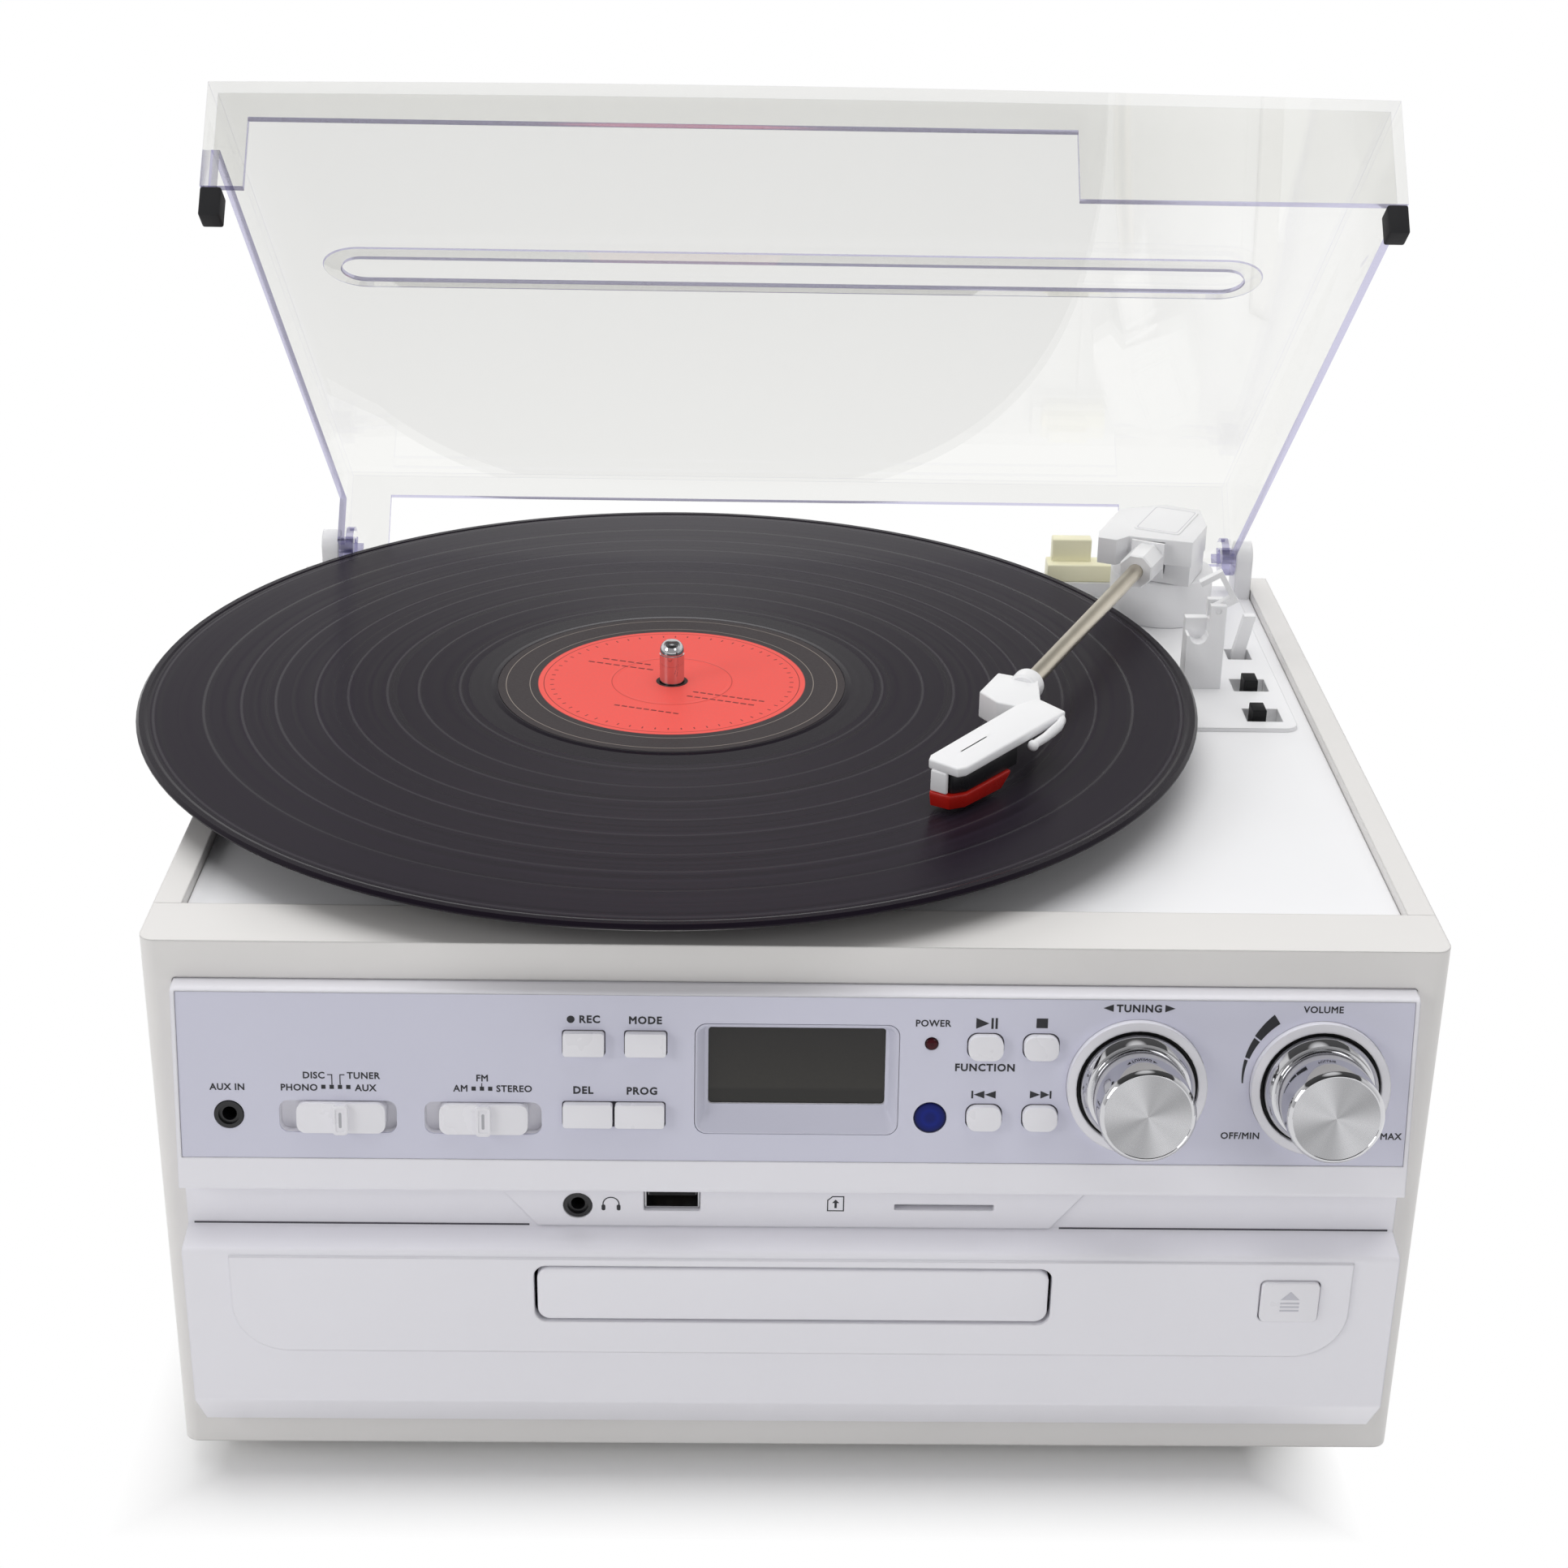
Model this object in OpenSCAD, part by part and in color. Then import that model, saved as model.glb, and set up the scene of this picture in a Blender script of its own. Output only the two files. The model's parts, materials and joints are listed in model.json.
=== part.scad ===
// Table-top stereo music centre: a wooden case with a turntable on top, a tilted control panel,
// a disc tray and a clear lid. Sizes are in millimetres. X runs to the right, Y to the back, Z up.
// Inside the file Y = 0 is the front face of the case and Z = 0 is the surface it stands on.

/* [Case] */
// Width of the case
cab_w = 320; // [312:1:400]
// Depth of the case
cab_d = 262; // [262:1:330]
// Height of the case without its feet
cab_h = 150; // [148:1:190]
// Height of the feet
foot_h = 8; // [4:1:20]
// Radius of the feet
foot_r = 12; // [8:1:16]
// Thickness of the side boards
side_t = 7; // [5:0.5:9]
// Depth of the front frame board
front_t = 19.5; // [16:0.5:20]
// Thickness of the bottom board
base_t = 9; // [6:1:12]
// Thickness of the back board
rear_t = 4; // [3:0.5:6]
// Rounding of the upright front edges
edge_r = 4; // [2:0.5:6]
// Gap between the front opening and the fascia
fascia_gap = 0.4; // [0.2:0.1:1]
// Width of each upright of the front frame
stile_w = 7.7; // [7.5:0.1:12]
// Height of the lower rail of the front frame
low_rail = 9; // [8:0.5:10]
// Height of the upper rail of the front frame
top_rail = 10.1; // [8:0.1:12]
// How far the deck lies below the top edge of the case
deck_drop = 3; // [1:0.5:6]
// Thickness of the deck
deck_t = 3; // [2:0.5:4]

/* [Fascia] */
// How far the top of the control panel stands proud of the case
panel_proud = 4.9; // [3:0.1:8]
// Angle by which the control panel leans back
panel_tilt = 9.3; // [6:0.1:11]
// Height of the control panel along its slope
panel_len = 52.4; // [52:0.1:54]
// How far the port strip stands proud of the case
band_proud = 6.8; // [6:0.1:9]
// How far the lower section stands proud of the case
low_proud = 16.5; // [15:0.5:20]
// Wall thickness of the fascia
wall = 2.5; // [2:0.1:3]
// Depth that the fascia reaches into the case
fascia_in = 14; // [10:1:18]
// Width of the coloured control plate
plate_w = 301.6; // [298:0.2:302]
// Height of the coloured control plate along the slope
plate_h = 43.2; // [43:0.1:44]
// Thickness of the control plate
plate_t = 0.8; // [0.5:0.1:1]
// Play round each button in its hole
button_gap = 0.3; // [0.2:0.05:0.4]
// How far a button stands proud
button_proud = 1.8; // [1:0.1:3]
// Travel of a button
button_travel = 0.8; // [0.4:0.1:1]
// Width of the slider caps
slider_w = 21.6; // [19:0.1:21.8]
// Height of the slider caps
slider_h = 7.8; // [6:0.1:7.9]
// Distance between two slider positions
slider_step = 2.05; // [1.5:0.05:2.1]
// Radius of the rotary knobs
knob_r = 11.8; // [9:0.1:13]
// How far the rotary knobs stand out from the panel
knob_len = 20; // [14:0.5:26]
// Radius of a knob's flange
flange_r = 14; // [13.4:0.1:14.5]
// Radius of a knob's shaft
shaft_r = 3; // [2:0.1:3.5]
// Radial play of a running fit
run_fit = 0.05; // [0.02:0.01:0.1]
// Width of the display window
lcd_w = 43.2; // [38:0.2:44]
// Height of the display window
lcd_h = 19.8; // [16:0.2:21]
// Radius of the hole of a plug socket
jack_bore = 1.8; // [1.7:0.05:1.9]
// Width of the disc tray door
door_w = 128; // [127:1:134]
// Height of the disc tray door
door_h = 15.2; // [14:0.2:15.6]
// Travel of the disc tray
tray_travel = 128; // [80:1:130]

/* [Turntable] */
// Place of the spindle from the middle of the case
rec_x = -35; // [-40:1:-30]
// Place of the spindle behind the front face
rec_y = 140; // [137:1:141]
// Height of the playing surface above the top edge of the case
rec_up = 11; // [10.5:0.5:14]
// Radius of the record
rec_r = 151; // [125:1:151.5]
// Thickness of the record
rec_t = 2.2; // [1.6:0.1:2.6]
// Radius of the label
label_r = 50; // [40:1:52]
// Thickness of the mat
mat_t = 2.5; // [1:0.5:4]
// Radius of the platter
platter_r = 97; // [92:1:120]
// Radius of the spindle
spindle_r = 3.55; // [3.5:0.01:3.58]
// Height of the spindle above the record
spindle_up = 12.6; // [8:0.2:14]
// Radius of the belt ring under the platter
ring_r = 57.7; // [50:0.1:62]
// Radius of the motor pulley
pulley_r = 4.7; // [4:0.1:7]
// Distance from the spindle to the motor shaft
motor_dist = 80; // [76:1:84]
// Direction from the spindle to the motor shaft
motor_dir = 200; // [180:1:230]
// Thickness of the drive belt
belt_t = 0.8; // [0.6:0.1:1.2]

/* [Arm] */
// Place of the arm pivot from the middle of the case
piv_x = 120.5; // [118:0.5:121]
// Place of the arm pivot behind the front face
piv_y = 235.5; // [233:0.5:236]
// Direction in which the arm points, about the pivot
arm_dir = 245.5; // [236:0.1:262]
// Height of the arm tube's centre above the record
tube_up = 11; // [10:0.5:11.5]
// Radius of the arm tube
tube_r = 2.4; // [2:0.1:3]
// Radius of the arm sleeve
sleeve_r = 4.3; // [3.8:0.1:4.5]
// Length from the pivot to the collar of the head
arm_len = 132.5; // [128:0.5:134]
// Gap between the stylus and the record
stylus_gap = 0.3; // [0.2:0.1:0.5]
// Radius of the round arm base
arm_base_r = 16.4; // [14:0.2:17]
// Distance from the pivot to the arm rest
rest_dist = 62; // [58:1:66]
// Direction from the pivot to the arm rest
rest_dir = 271.8; // [269:0.1:272]

/* [Lid] */
// Outer width of the lid
lid_w = 294; // [288:1:296]
// Distance from the hinge to the front of the lid
lid_len = 238; // [234:1:246]
// Height of the lid's top above its hinge
lid_up = 28; // [28:0.5:40]
// Depth of the lid's walls
lid_depth = 30; // [28:0.5:31]
// Wall thickness of the lid
lid_t = 2.2; // [1.8:0.1:3]
// Opening angle of the lid as shown
lid_open = 41.5; // [30:0.5:80]
// Distance of the hinge in front of the back of the case
hinge_in = 7; // [6:0.5:8]
// Height of the hinge above the top edge of the case
hinge_up = 10; // [9:0.5:12]
// Radius of the hinge pins
pin_r = 2.4; // [2:0.1:3]

/* [Hidden] */
$fn = 64;
// general play between neighbouring pieces
gap = 0.3;
half_w = cab_w / 2;
case_top = foot_h + cab_h;
inner_w = cab_w - 2 * side_t;
deck_z = case_top - deck_drop;
deck_low = deck_z - deck_t;
floor_z = foot_h + base_t;
play_z = case_top + rec_up;
back_in = cab_d - rear_t;
// front opening and fascia
open_w = cab_w - 2 * stile_w;
open_low = foot_h + low_rail;
open_top = case_top - top_rail;
fascia_w = open_w - 2 * fascia_gap;
panel_z = open_top - fascia_gap;
sin_t = sin(panel_tilt);
cos_t = cos(panel_tilt);
panel_low_y = -panel_proud - panel_len * sin_t;
panel_low_z = panel_z - panel_len * cos_t;
band_top = panel_low_z - 3;
band_low = band_top - 11.4;
low_top = band_low - 1.5;
bevel_z = open_low + 17.2;
bevel_low = open_low + 3.1;
plate_top = 0.8;
tub_y = 3.2;
board_y = 10;
board_t = 1.6;
recess_y = 1;
// control places on the panel, as distance from the middle and from the top edge
jack_at = [-138.8, 32.6];
fn_recess_at = [-112.25, 33];
fn_slider_x = -111.4;
band_recess_at = [-76.8, 33.1];
band_slider_x = -76.6;
recess_w = 28.7;
recess_h = 8.5;
slot_play = 0.35;
stem_w = 3;
pointer_w = 3.8;
pointer_y = -2.2;
cap_y = -1;
square_size = [10, 6, 0.8];
wide_size = [12.1, 6.1, 0.8];
round_size = [8.5, 6.3, 2.5];
rec_at = [-52.05, 13.1];
mode_at = [-36.95, 13.1];
del_at = [-51.1, 31.7];
prog_at = [-38.4, 31.7];
play_at = [46, 13.1];
stop_at = [59.6, 13.1];
prev_at = [46.1, 31.6];
next_at = [59.9, 31.6];
led_at = [32.8, 12.6];
led_r = 1.6;
ir_at = [32.9, 32];
ir_r = 4;
lcd_bezel = [50.1, 28.9, 3];
lcd_bezel_at = [0, 22.3];
lcd_at = [0, 19.8];
lcd_back = 3.6;
tuning_at = [83.4, 23.1];
volume_at = [128.5, 23.1];
ring_out = 17.2;
ring_in = 15;
ring_proud = 2;
// lower section and ports
eject_at = [124.9, foot_h + 59.4];
eject_size = [14.6, 11.6, 1.5];
door_z = foot_h + 60;
door_r = 3.2;
door_gap = 0.8;
field_w = 280.6;
field_low = foot_h + 42.2;
field_r = 13.5;
field_t = 0.6;
port_t = 0.6;
phones_at = [-54.2, foot_h + 79.8];
usb_at = [-30.6, foot_h + 81.4];
usb_size = [13.7, 5.4];
card_at = [37.7, foot_h + 80];
card_size = [25, 1.6];
jack_r = 3.5;
jack_len = 14;
// disc mechanism
tray_w = door_w - 4;
tray_len = 165;
tray_z = foot_h + 54.6;
tray_t = 6;
disc_r = tray_w / 2 - 1.2;
disc_y = -low_proud + disc_r + 6.2;
chassis_w = tray_w + 18;
chassis_y = 3;
chassis_len = 178;
chassis_z = foot_h + 47;
chassis_h = 28;
// turntable levels
axle_r = spindle_r - 0.5;
pin_low = play_z + 0.5;
rec_low = play_z - rec_t;
platter_top = rec_low - mat_t;
platter_low = deck_z + 3;
hub_low = deck_z + 1.8;
bush_r = 7;
bush_z = deck_z - 11;
motor_x = rec_x + motor_dist * cos(motor_dir);
motor_y = rec_y + motor_dist * sin(motor_dir);
belt_z = deck_z + 2.4;
belt_h = 2.8;
platform_t = 1.2;
platform_z = deck_z + platform_t;
platform_x = 97;
platform_w = 51.6;
platform_y = 140;
platform_len = 114;
// arm levels
tube_z = play_z + tube_up;
base_top = tube_z - 9;
house_low = base_top + gap;
house_top = tube_z + 6.5;
head_top = play_z + 14;
head_low = head_top - 8;
tip_z = play_z + stylus_gap;
stylus_u = 196;
lever_at = [140.1, 197.9];
lever_z = deck_low - 3;
lever_slot = [7.4, 8.6];
rest_x = piv_x + rest_dist * cos(rest_dir);
rest_y = piv_y + rest_dist * sin(rest_dir);
stop_x = rest_x + tube_r + gap;
ledge_h = 6;
rest_top = tube_z + 3;
clip_x = stop_x + 2.4;
clip_z = tube_z + 1.2;
clip_open = 60;
// deck switches: place of the slot, its size, and the knob in it
switch_a = [139.3, 172.8];
switch_b = [139.4, 149.8];
switch_slot = [10.6, 9.6];
switch_knob = [4.2, 6.5];
switch_travel = 2.6;
stop_shift = -1.5;
// lid
hinge_y = cab_d - hinge_in;
hinge_z = case_top + hinge_up;
lid_back = 4;
lid_low = lid_up - lid_depth;
lug_r = 6.2;
lug_w = 4.6;
notch_half = 101.6;
lid_side_cut = 15;
bumper_len = 7;
bracket_x = lid_w / 2 + 0.4;
bracket_w = inner_w / 2 - bracket_x - 0.3;
// sound and power
speaker_r = 38;
speaker_y = 110;
speaker_z = foot_h + 78;
screw_r = 2;
rca_at = [[-118, foot_h + 60], [-104, foot_h + 60]];
rca_r = 4;
inlet_at = [118, foot_h + 50];
inlet_size = [20, 12];

// the origin is below the middle of the whole object's box, on the table
knob_front = panel_proud + tuning_at[1] * sin_t + knob_len * cos_t + (knob_r - 0.7) * sin_t;
front_end = -max(knob_front, rec_r - rec_y);
back_end = max(hinge_y + lid_back * cos(lid_open) + lid_up * sin(lid_open), rec_y + rec_r);
left_end = min(rec_x - rec_r, -half_w);
mid_x = (left_end + half_w) / 2;
mid_y = (front_end + back_end) / 2;

module place() {
    translate([-mid_x, -mid_y, 0]) children();
}

// rounded rectangle of exact arcs, about its middle
module round_rect(w, h, r) {
    square([w - 2 * r, h], center = true);
    square([w, h - 2 * r], center = true);
    for (sx = [-1, 1], sy = [-1, 1])
        translate([sx * (w / 2 - r), sy * (h / 2 - r)]) circle(r);
}

// flat bar along Y, from y0 to y1, with a rounded outline across X and Z
module bar_y(w, h, r, y0, y1) {
    translate([0, y0, 0]) rotate([-90, 0, 0]) linear_extrude(y1 - y0) round_rect(w, h, r);
}

// round bar along Y
module rod_y(r, y0, y1) {
    translate([0, y0, 0]) rotate([-90, 0, 0]) cylinder(r = r, h = y1 - y0);
}

// round bar along X
module rod_x(r, x0, x1) {
    translate([x0, 0, 0]) rotate([0, 90, 0]) cylinder(r = r, h = x1 - x0);
}

// eight-sided bar along X
module rod_8(r, x0, x1) {
    translate([x0, 0, 0]) rotate([0, 90, 0]) cylinder(r = r, h = x1 - x0, $fn = 8);
}

// frame of the tilted panel: X right, Y into the panel, Z up along it, from its top edge
module on_panel(at = [0, 0]) {
    translate([0, -panel_proud, panel_z]) rotate([-panel_tilt, 0, 0])
        translate([at[0], 0, -at[1]]) children();
}

// frame of the arm: X along the tube from the pivot, Y to its right-hand side seen from the tip
module on_arm() {
    translate([piv_x, piv_y, 0]) rotate([0, 0, arm_dir]) children();
}

// frame of the lid as if closed, from the hinge line
module on_lid() {
    translate([0, hinge_y, hinge_z]) rotate([-lid_open, 0, 0]) children();
}

// points of a fillet of radius r at corner b between a and c
function unit(v) = v / norm(v);
function fillet(a, b, c, r, n = 4) =
    let (u = unit(a - b), w = unit(c - b), half = acos(u * w) / 2, back = r / tan(half),
        mid = b + unit(u + w) * r / sin(half), s = b + u * back - mid, e = b + w * back - mid,
        a0 = atan2(s[1], s[0]), turn = atan2(e[1], e[0]) - a0,
        sweep = turn > 180 ? turn - 360 : turn < -180 ? turn + 360 : turn)
    r == 0 ? [b] : [for (i = [0 : n]) mid + r * [cos(a0 + sweep * i / n), sin(a0 + sweep * i / n)]];
function rounded(p, r) = let (m = len(p))
    [for (i = [0 : m - 1]) each fillet(p[(i + m - 1) % m], p[i], p[(i + 1) % m], r[i])];

// side outline of the fascia, as Y and Z, moved in by t at the front
function fascia_outline(t) = [
    [fascia_in + 2 * t, panel_z - t],
    [-panel_proud + t, panel_z - t],
    [panel_low_y + t, panel_low_z + t / 2],
    [-band_proud + t, band_top + t / 2],
    [-band_proud + t, band_low - t],
    [-low_proud + t, low_top - t],
    [-low_proud + t, bevel_z + t / 2],
    [-5.8 + t, bevel_low + t / 2],
    [0.4 + t, open_low + fascia_gap + t],
    [fascia_in + 2 * t, open_low + fascia_gap + t]];
outline_r = [0, 1.5, 1.5, 0.5, 0.5, 1.5, 2, 1, 0.5, 0];

module extrude_x(w) {
    translate([-w / 2, 0, 0]) rotate([90, 0, 90]) linear_extrude(w) children();
}

module front_frame() {
    color("whitesmoke") place() difference() {
        translate([0, 0, foot_h]) linear_extrude(cab_h) {
            translate([-half_w, edge_r]) square([cab_w, front_t - edge_r]);
            translate([-half_w + edge_r, 0]) square([cab_w - 2 * edge_r, front_t]);
            for (s = [-1, 1]) translate([s * (half_w - edge_r), edge_r]) circle(edge_r);
        }
        translate([0, 0, (open_low + open_top) / 2])
            bar_y(open_w, open_top - open_low, 1, -1, front_t + 1);
    }
}

module side_boards() {
    color("whitesmoke") place() for (s = [-1, 1]) difference() {
        translate([s * (half_w - side_t / 2) - side_t / 2, front_t, foot_h])
            cube([side_t, cab_d - front_t, cab_h]);
        for (i = [-4 : 4]) {
            reach = sqrt(speaker_r * speaker_r - i * i * 64) - 6;
            translate([s * half_w, speaker_y + i * 8, speaker_z]) {
                translate([-side_t - 1, -1.5, -reach]) cube([2 * side_t + 2, 3, 2 * reach]);
            }
        }
    }
}

module base_board() {
    color("whitesmoke") place() difference() {
        translate([-inner_w / 2, front_t, foot_h]) cube([inner_w, back_in - front_t, base_t]);
        for (i = [-5 : 5])
            translate([i * 9 - 1.5, 205, foot_h - 1]) cube([3, 36, base_t + 2]);
    }
}

module rear_board() {
    color("whitesmoke") place() difference() {
        translate([-inner_w / 2, back_in, foot_h]) cube([inner_w, rear_t, deck_low - foot_h]);
        for (p = rca_at) translate([p[0], 0, p[1]]) rod_y(rca_r + gap, back_in - 1, cab_d + 1);
        translate([inlet_at[0], 0, inlet_at[1]])
            bar_y(inlet_size[0] + 0.4, inlet_size[1] + 0.4, 2, back_in - 1, cab_d + 1);
        for (i = [0 : 7])
            translate([i * 8 - 50, 0, foot_h + 102]) bar_y(3, 34, 1.4, back_in - 1, cab_d + 1);
    }
}

module feet() {
    color("dimgray") place() for (x = [-1, 1], y = [30, cab_d - 30])
        translate([x * (half_w - 28), y, 0]) cylinder(r = foot_r, h = foot_h);
}

module case_screws() {
    color("silver") place() for (x = [-1, 1], z = [foot_h + 14, foot_h + 84])
        translate([x * (inner_w / 2 - 8), 0, z]) difference() {
            rod_y(screw_r * 2, cab_d, cab_d + 1.4);
            for (a = [0, 90]) rotate([0, a, 0])
                translate([-2.2, cab_d + 0.6, -0.4]) cube([4.4, 1.4, 0.8]);
        }
}

module bracket() {
    translate([0, hinge_y - 5, deck_z]) cube([bracket_w, 10.5, hinge_z - deck_z]);
    translate([0, hinge_y + 0.25, hinge_z]) rod_x(5.25, 0, bracket_w);
    translate([0, hinge_y, hinge_z]) rod_x(pin_r, gap + 0.1 - lug_w, 0);
}

module slot_hole(at, w, h, low) {
    translate([at[0] - w / 2, at[1] - h / 2, low]) cube([w, h, 20]);
}

module top_deck() {
    color("white") place() difference() {
        union() {
            translate([-inner_w / 2 + 0.2, front_t, deck_low])
                cube([inner_w - 0.4, cab_d - front_t, deck_t]);
            translate([platform_x + platform_w / 2, platform_y + platform_len / 2, deck_low])
                linear_extrude(deck_t + platform_t) round_rect(platform_w, platform_len, 4);
            translate([bracket_x, 0, 0]) bracket();
            for (s = [-1, 1]) translate([lever_at[0] + s * 5.6 - 1.6, lever_at[1] - 1.8, lever_z - 3])
                cube([3.2, 6, deck_low - lever_z + 3.5]);
            translate([82, 247, deck_low]) cube([26, 10, deck_t + ledge_h]);
            mirror([1, 0, 0]) translate([bracket_x, 0, 0]) bracket();
            for (at = [switch_a, switch_b]) translate([at[0], at[1], deck_low - 4])
                linear_extrude(4) round_rect(switch_slot[0] + 3, switch_slot[1] + 3, 1);
        }
        translate([rec_x, rec_y, deck_low - 1]) cylinder(r = bush_r + 0.1, h = deck_t + 2);
        translate([motor_x, motor_y, deck_low - 1]) cylinder(r = pulley_r + 3, h = deck_t + 2);
        slot_hole(switch_a, switch_slot[0], switch_slot[1], deck_z - 4);
        slot_hole(switch_b, switch_slot[0], switch_slot[1], deck_z - 4);
        slot_hole(switch_a, stem_w + 2 * switch_travel + 1, 3, deck_low - 10);
        slot_hole(switch_b, stem_w + 2 * switch_travel + 1, 3, deck_low - 10);
        slot_hole(lever_at, lever_slot[0], lever_slot[1], deck_low - 1);
        translate([lever_at[0], lever_at[1] + 1.2, lever_z]) rod_x(1.2 + run_fit, -9, 9);
    }
}

module bearing_bush() {
    color("gold") place() translate([rec_x, rec_y, 0]) difference() {
        union() {
            translate([0, 0, bush_z]) cylinder(r = bush_r, h = deck_z - bush_z);
            translate([0, 0, deck_z]) cylinder(r = bush_r + 3, h = 1.5);
        }
        translate([0, 0, bush_z - 1]) cylinder(r = axle_r + run_fit, h = 20);
    }
}

module drive_motor() {
    color("silver") place() translate([motor_x, motor_y, 0]) {
        translate([0, 0, deck_low - 26]) cylinder(r = 17, h = 26);
        translate([0, 0, deck_low]) cylinder(r = 3, h = 1);
        translate([0, 0, deck_low]) cylinder(r = 1, h = belt_z + belt_h - deck_low);
    }
}

// outline round the belt ring and the pulley, grown by t
function belt_points(t) = let (r1 = ring_r + gap + 0.1 + t, r2 = pulley_r + gap + 0.1 + t,
    lean = acos((r1 - r2) / motor_dist))
    concat([for (i = [0 : 60]) let (a = lean + (360 - 2 * lean) * i / 60) r1 * [cos(a), sin(a)]],
        [for (i = [0 : 12]) let (a = 360 - lean + 2 * lean * i / 12)
            [motor_dist, 0] + r2 * [cos(a), sin(a)]]);

module drive_belt() {
    color("black") place() translate([rec_x, rec_y, belt_z]) rotate([0, 0, motor_dir])
        linear_extrude(belt_h) difference() {
            polygon(belt_points(belt_t));
            polygon(belt_points(0));
        }
}

module motor_pulley() {
    color("gold") place() translate([motor_x, motor_y, 0]) difference() {
        union() {
            translate([0, 0, belt_z - 1.1]) cylinder(r = pulley_r, h = belt_h + 1.9);
            translate([0, 0, belt_z - 1.1]) cylinder(r = pulley_r + 1.4, h = 0.8);
            translate([0, 0, belt_z + belt_h + 0.3]) cylinder(r = pulley_r + 1.4, h = 0.5);
        }
        translate([0, 0, belt_z - 2]) cylinder(r = 1 + run_fit, h = belt_h + 6);
    }
}

module platter() {
    color("silver") place() translate([rec_x, rec_y, 0]) rotate_extrude($fn = 128) {
        bore = axle_r + run_fit;
        translate([bore, platter_top - 2.4]) square([platter_r - bore, 2.4]);
        translate([platter_r - 3, platter_low]) square([3, platter_top - platter_low]);
        translate([ring_r - 2.7, hub_low + 1]) square([2.7, platter_top - hub_low - 2]);
        translate([bore, hub_low]) square([8 - bore, platter_top - hub_low - 1]);
    }
}

module platter_mat() {
    color("dimgray") place() translate([rec_x, rec_y, platter_top]) difference() {
        cylinder(r = platter_r - 2, h = mat_t);
        translate([0, 0, -1]) cylinder(r = spindle_r + 0.3, h = mat_t + 2);
    }
}

module spindle() {
    color("silver") place() translate([rec_x, rec_y, 0]) rotate_extrude()
        polygon(concat([[0, bush_z + 1], [axle_r, bush_z + 1], [axle_r, pin_low], [spindle_r, pin_low]],
            [for (a = [0 : 15 : 90])
                [1.2 + (spindle_r - 1.2) * cos(a), play_z + spindle_up - 3.4 + 3.4 * sin(a)]],
            [[0, play_z + spindle_up]]));
}

module record() {
    color("black") place() translate([rec_x, rec_y, rec_low]) rotate_extrude($fn = 180)
        polygon([[spindle_r + 0.07, 0], [label_r + 1, 0], [label_r + 2, 0.2], [rec_r - 3, 0.2],
            [rec_r - 0.8, 0.4], [rec_r, 1], [rec_r, rec_t - 0.8], [rec_r - 0.8, rec_t],
            [rec_r - 2.4, rec_t], [rec_r - 3.2, rec_t - 0.2], [label_r + 2, rec_t - 0.2],
            [label_r + 0.6, rec_t], [label_r + 0.2, rec_t], [label_r + 0.2, rec_t - 0.2],
            [spindle_r + 0.07, rec_t - 0.2]]);
}

module record_label() {
    color("crimson") place() translate([rec_x, rec_y, play_z - 0.2]) difference() {
        cylinder(r = label_r, h = 0.25);
        translate([0, 0, -1]) cylinder(r = spindle_r + 0.12, h = 2);
    }
}

module arm_base() {
    color("white") place() translate([piv_x, piv_y, platform_z]) difference() {
        cylinder(r = arm_base_r, h = base_top - platform_z);
        translate([0, 0, 2]) cylinder(r = 4 + run_fit, h = base_top);
    }
}

house_points = [[15, 13.4], [-3, 12.9], [-16.6, 6.8], [-17.2, -4.8], [-6.6, -17.2], [17.6, -16.6],
    [23.4, -15], [23.4, -9], [18, -6.6]];

module arm_housing() {
    color("white") place() on_arm() difference() {
        union() {
            translate([0, 0, tube_z - 2]) linear_extrude(house_top - tube_z + 2)
                polygon(house_points);
            translate([0, 0, house_low]) linear_extrude(house_top - house_low - 1)
                polygon([[14.6, 13], [-3, 12.5], [-15.8, 6.4], [-16, -4.4], [-6, -9], [14.6, -8.6]]);
            translate([-1, 0, house_top]) linear_extrude(0.5) round_rect(24, 15, 1.5);
            translate([0, 0, platform_z + 2.4]) cylinder(r = 4, h = tube_z - 6 - platform_z);
        }
        translate([-13, -sleeve_r - 0.4, tube_z - 5.6]) cube([40, 2 * sleeve_r + 0.8, 11]);
        translate([0, 0, tube_z]) rotate([90, 0, 0])
            cylinder(r = 1.5 + run_fit, h = 18, center = true);
    }
}

module arm_sleeve() {
    color("white") place() on_arm() translate([0, 0, tube_z]) difference() {
        union() {
            rotate([22.5, 0, 0]) rod_8(sleeve_r / cos(22.5), -11, 31.5);
            rotate([90, 0, 0]) cylinder(r = 1.5, h = 17.4, center = true);
        }
        rod_x(tube_r, 18, 36);
    }
}

module arm_tube() {
    color("tan") place() on_arm() translate([0, 0, tube_z]) difference() {
        rod_x(tube_r, 18, arm_len);
        rod_x(tube_r - 0.6, 17, arm_len + 1);
    }
}

// long bar of the head, seen from above in the arm's frame
head_bar = [[148, 7.6], [153.4, 17.6], [199.6, 6.3], [201.6, 4.6], [199.2, -4.4], [196.4, -5],
    [155, 4]];

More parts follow.
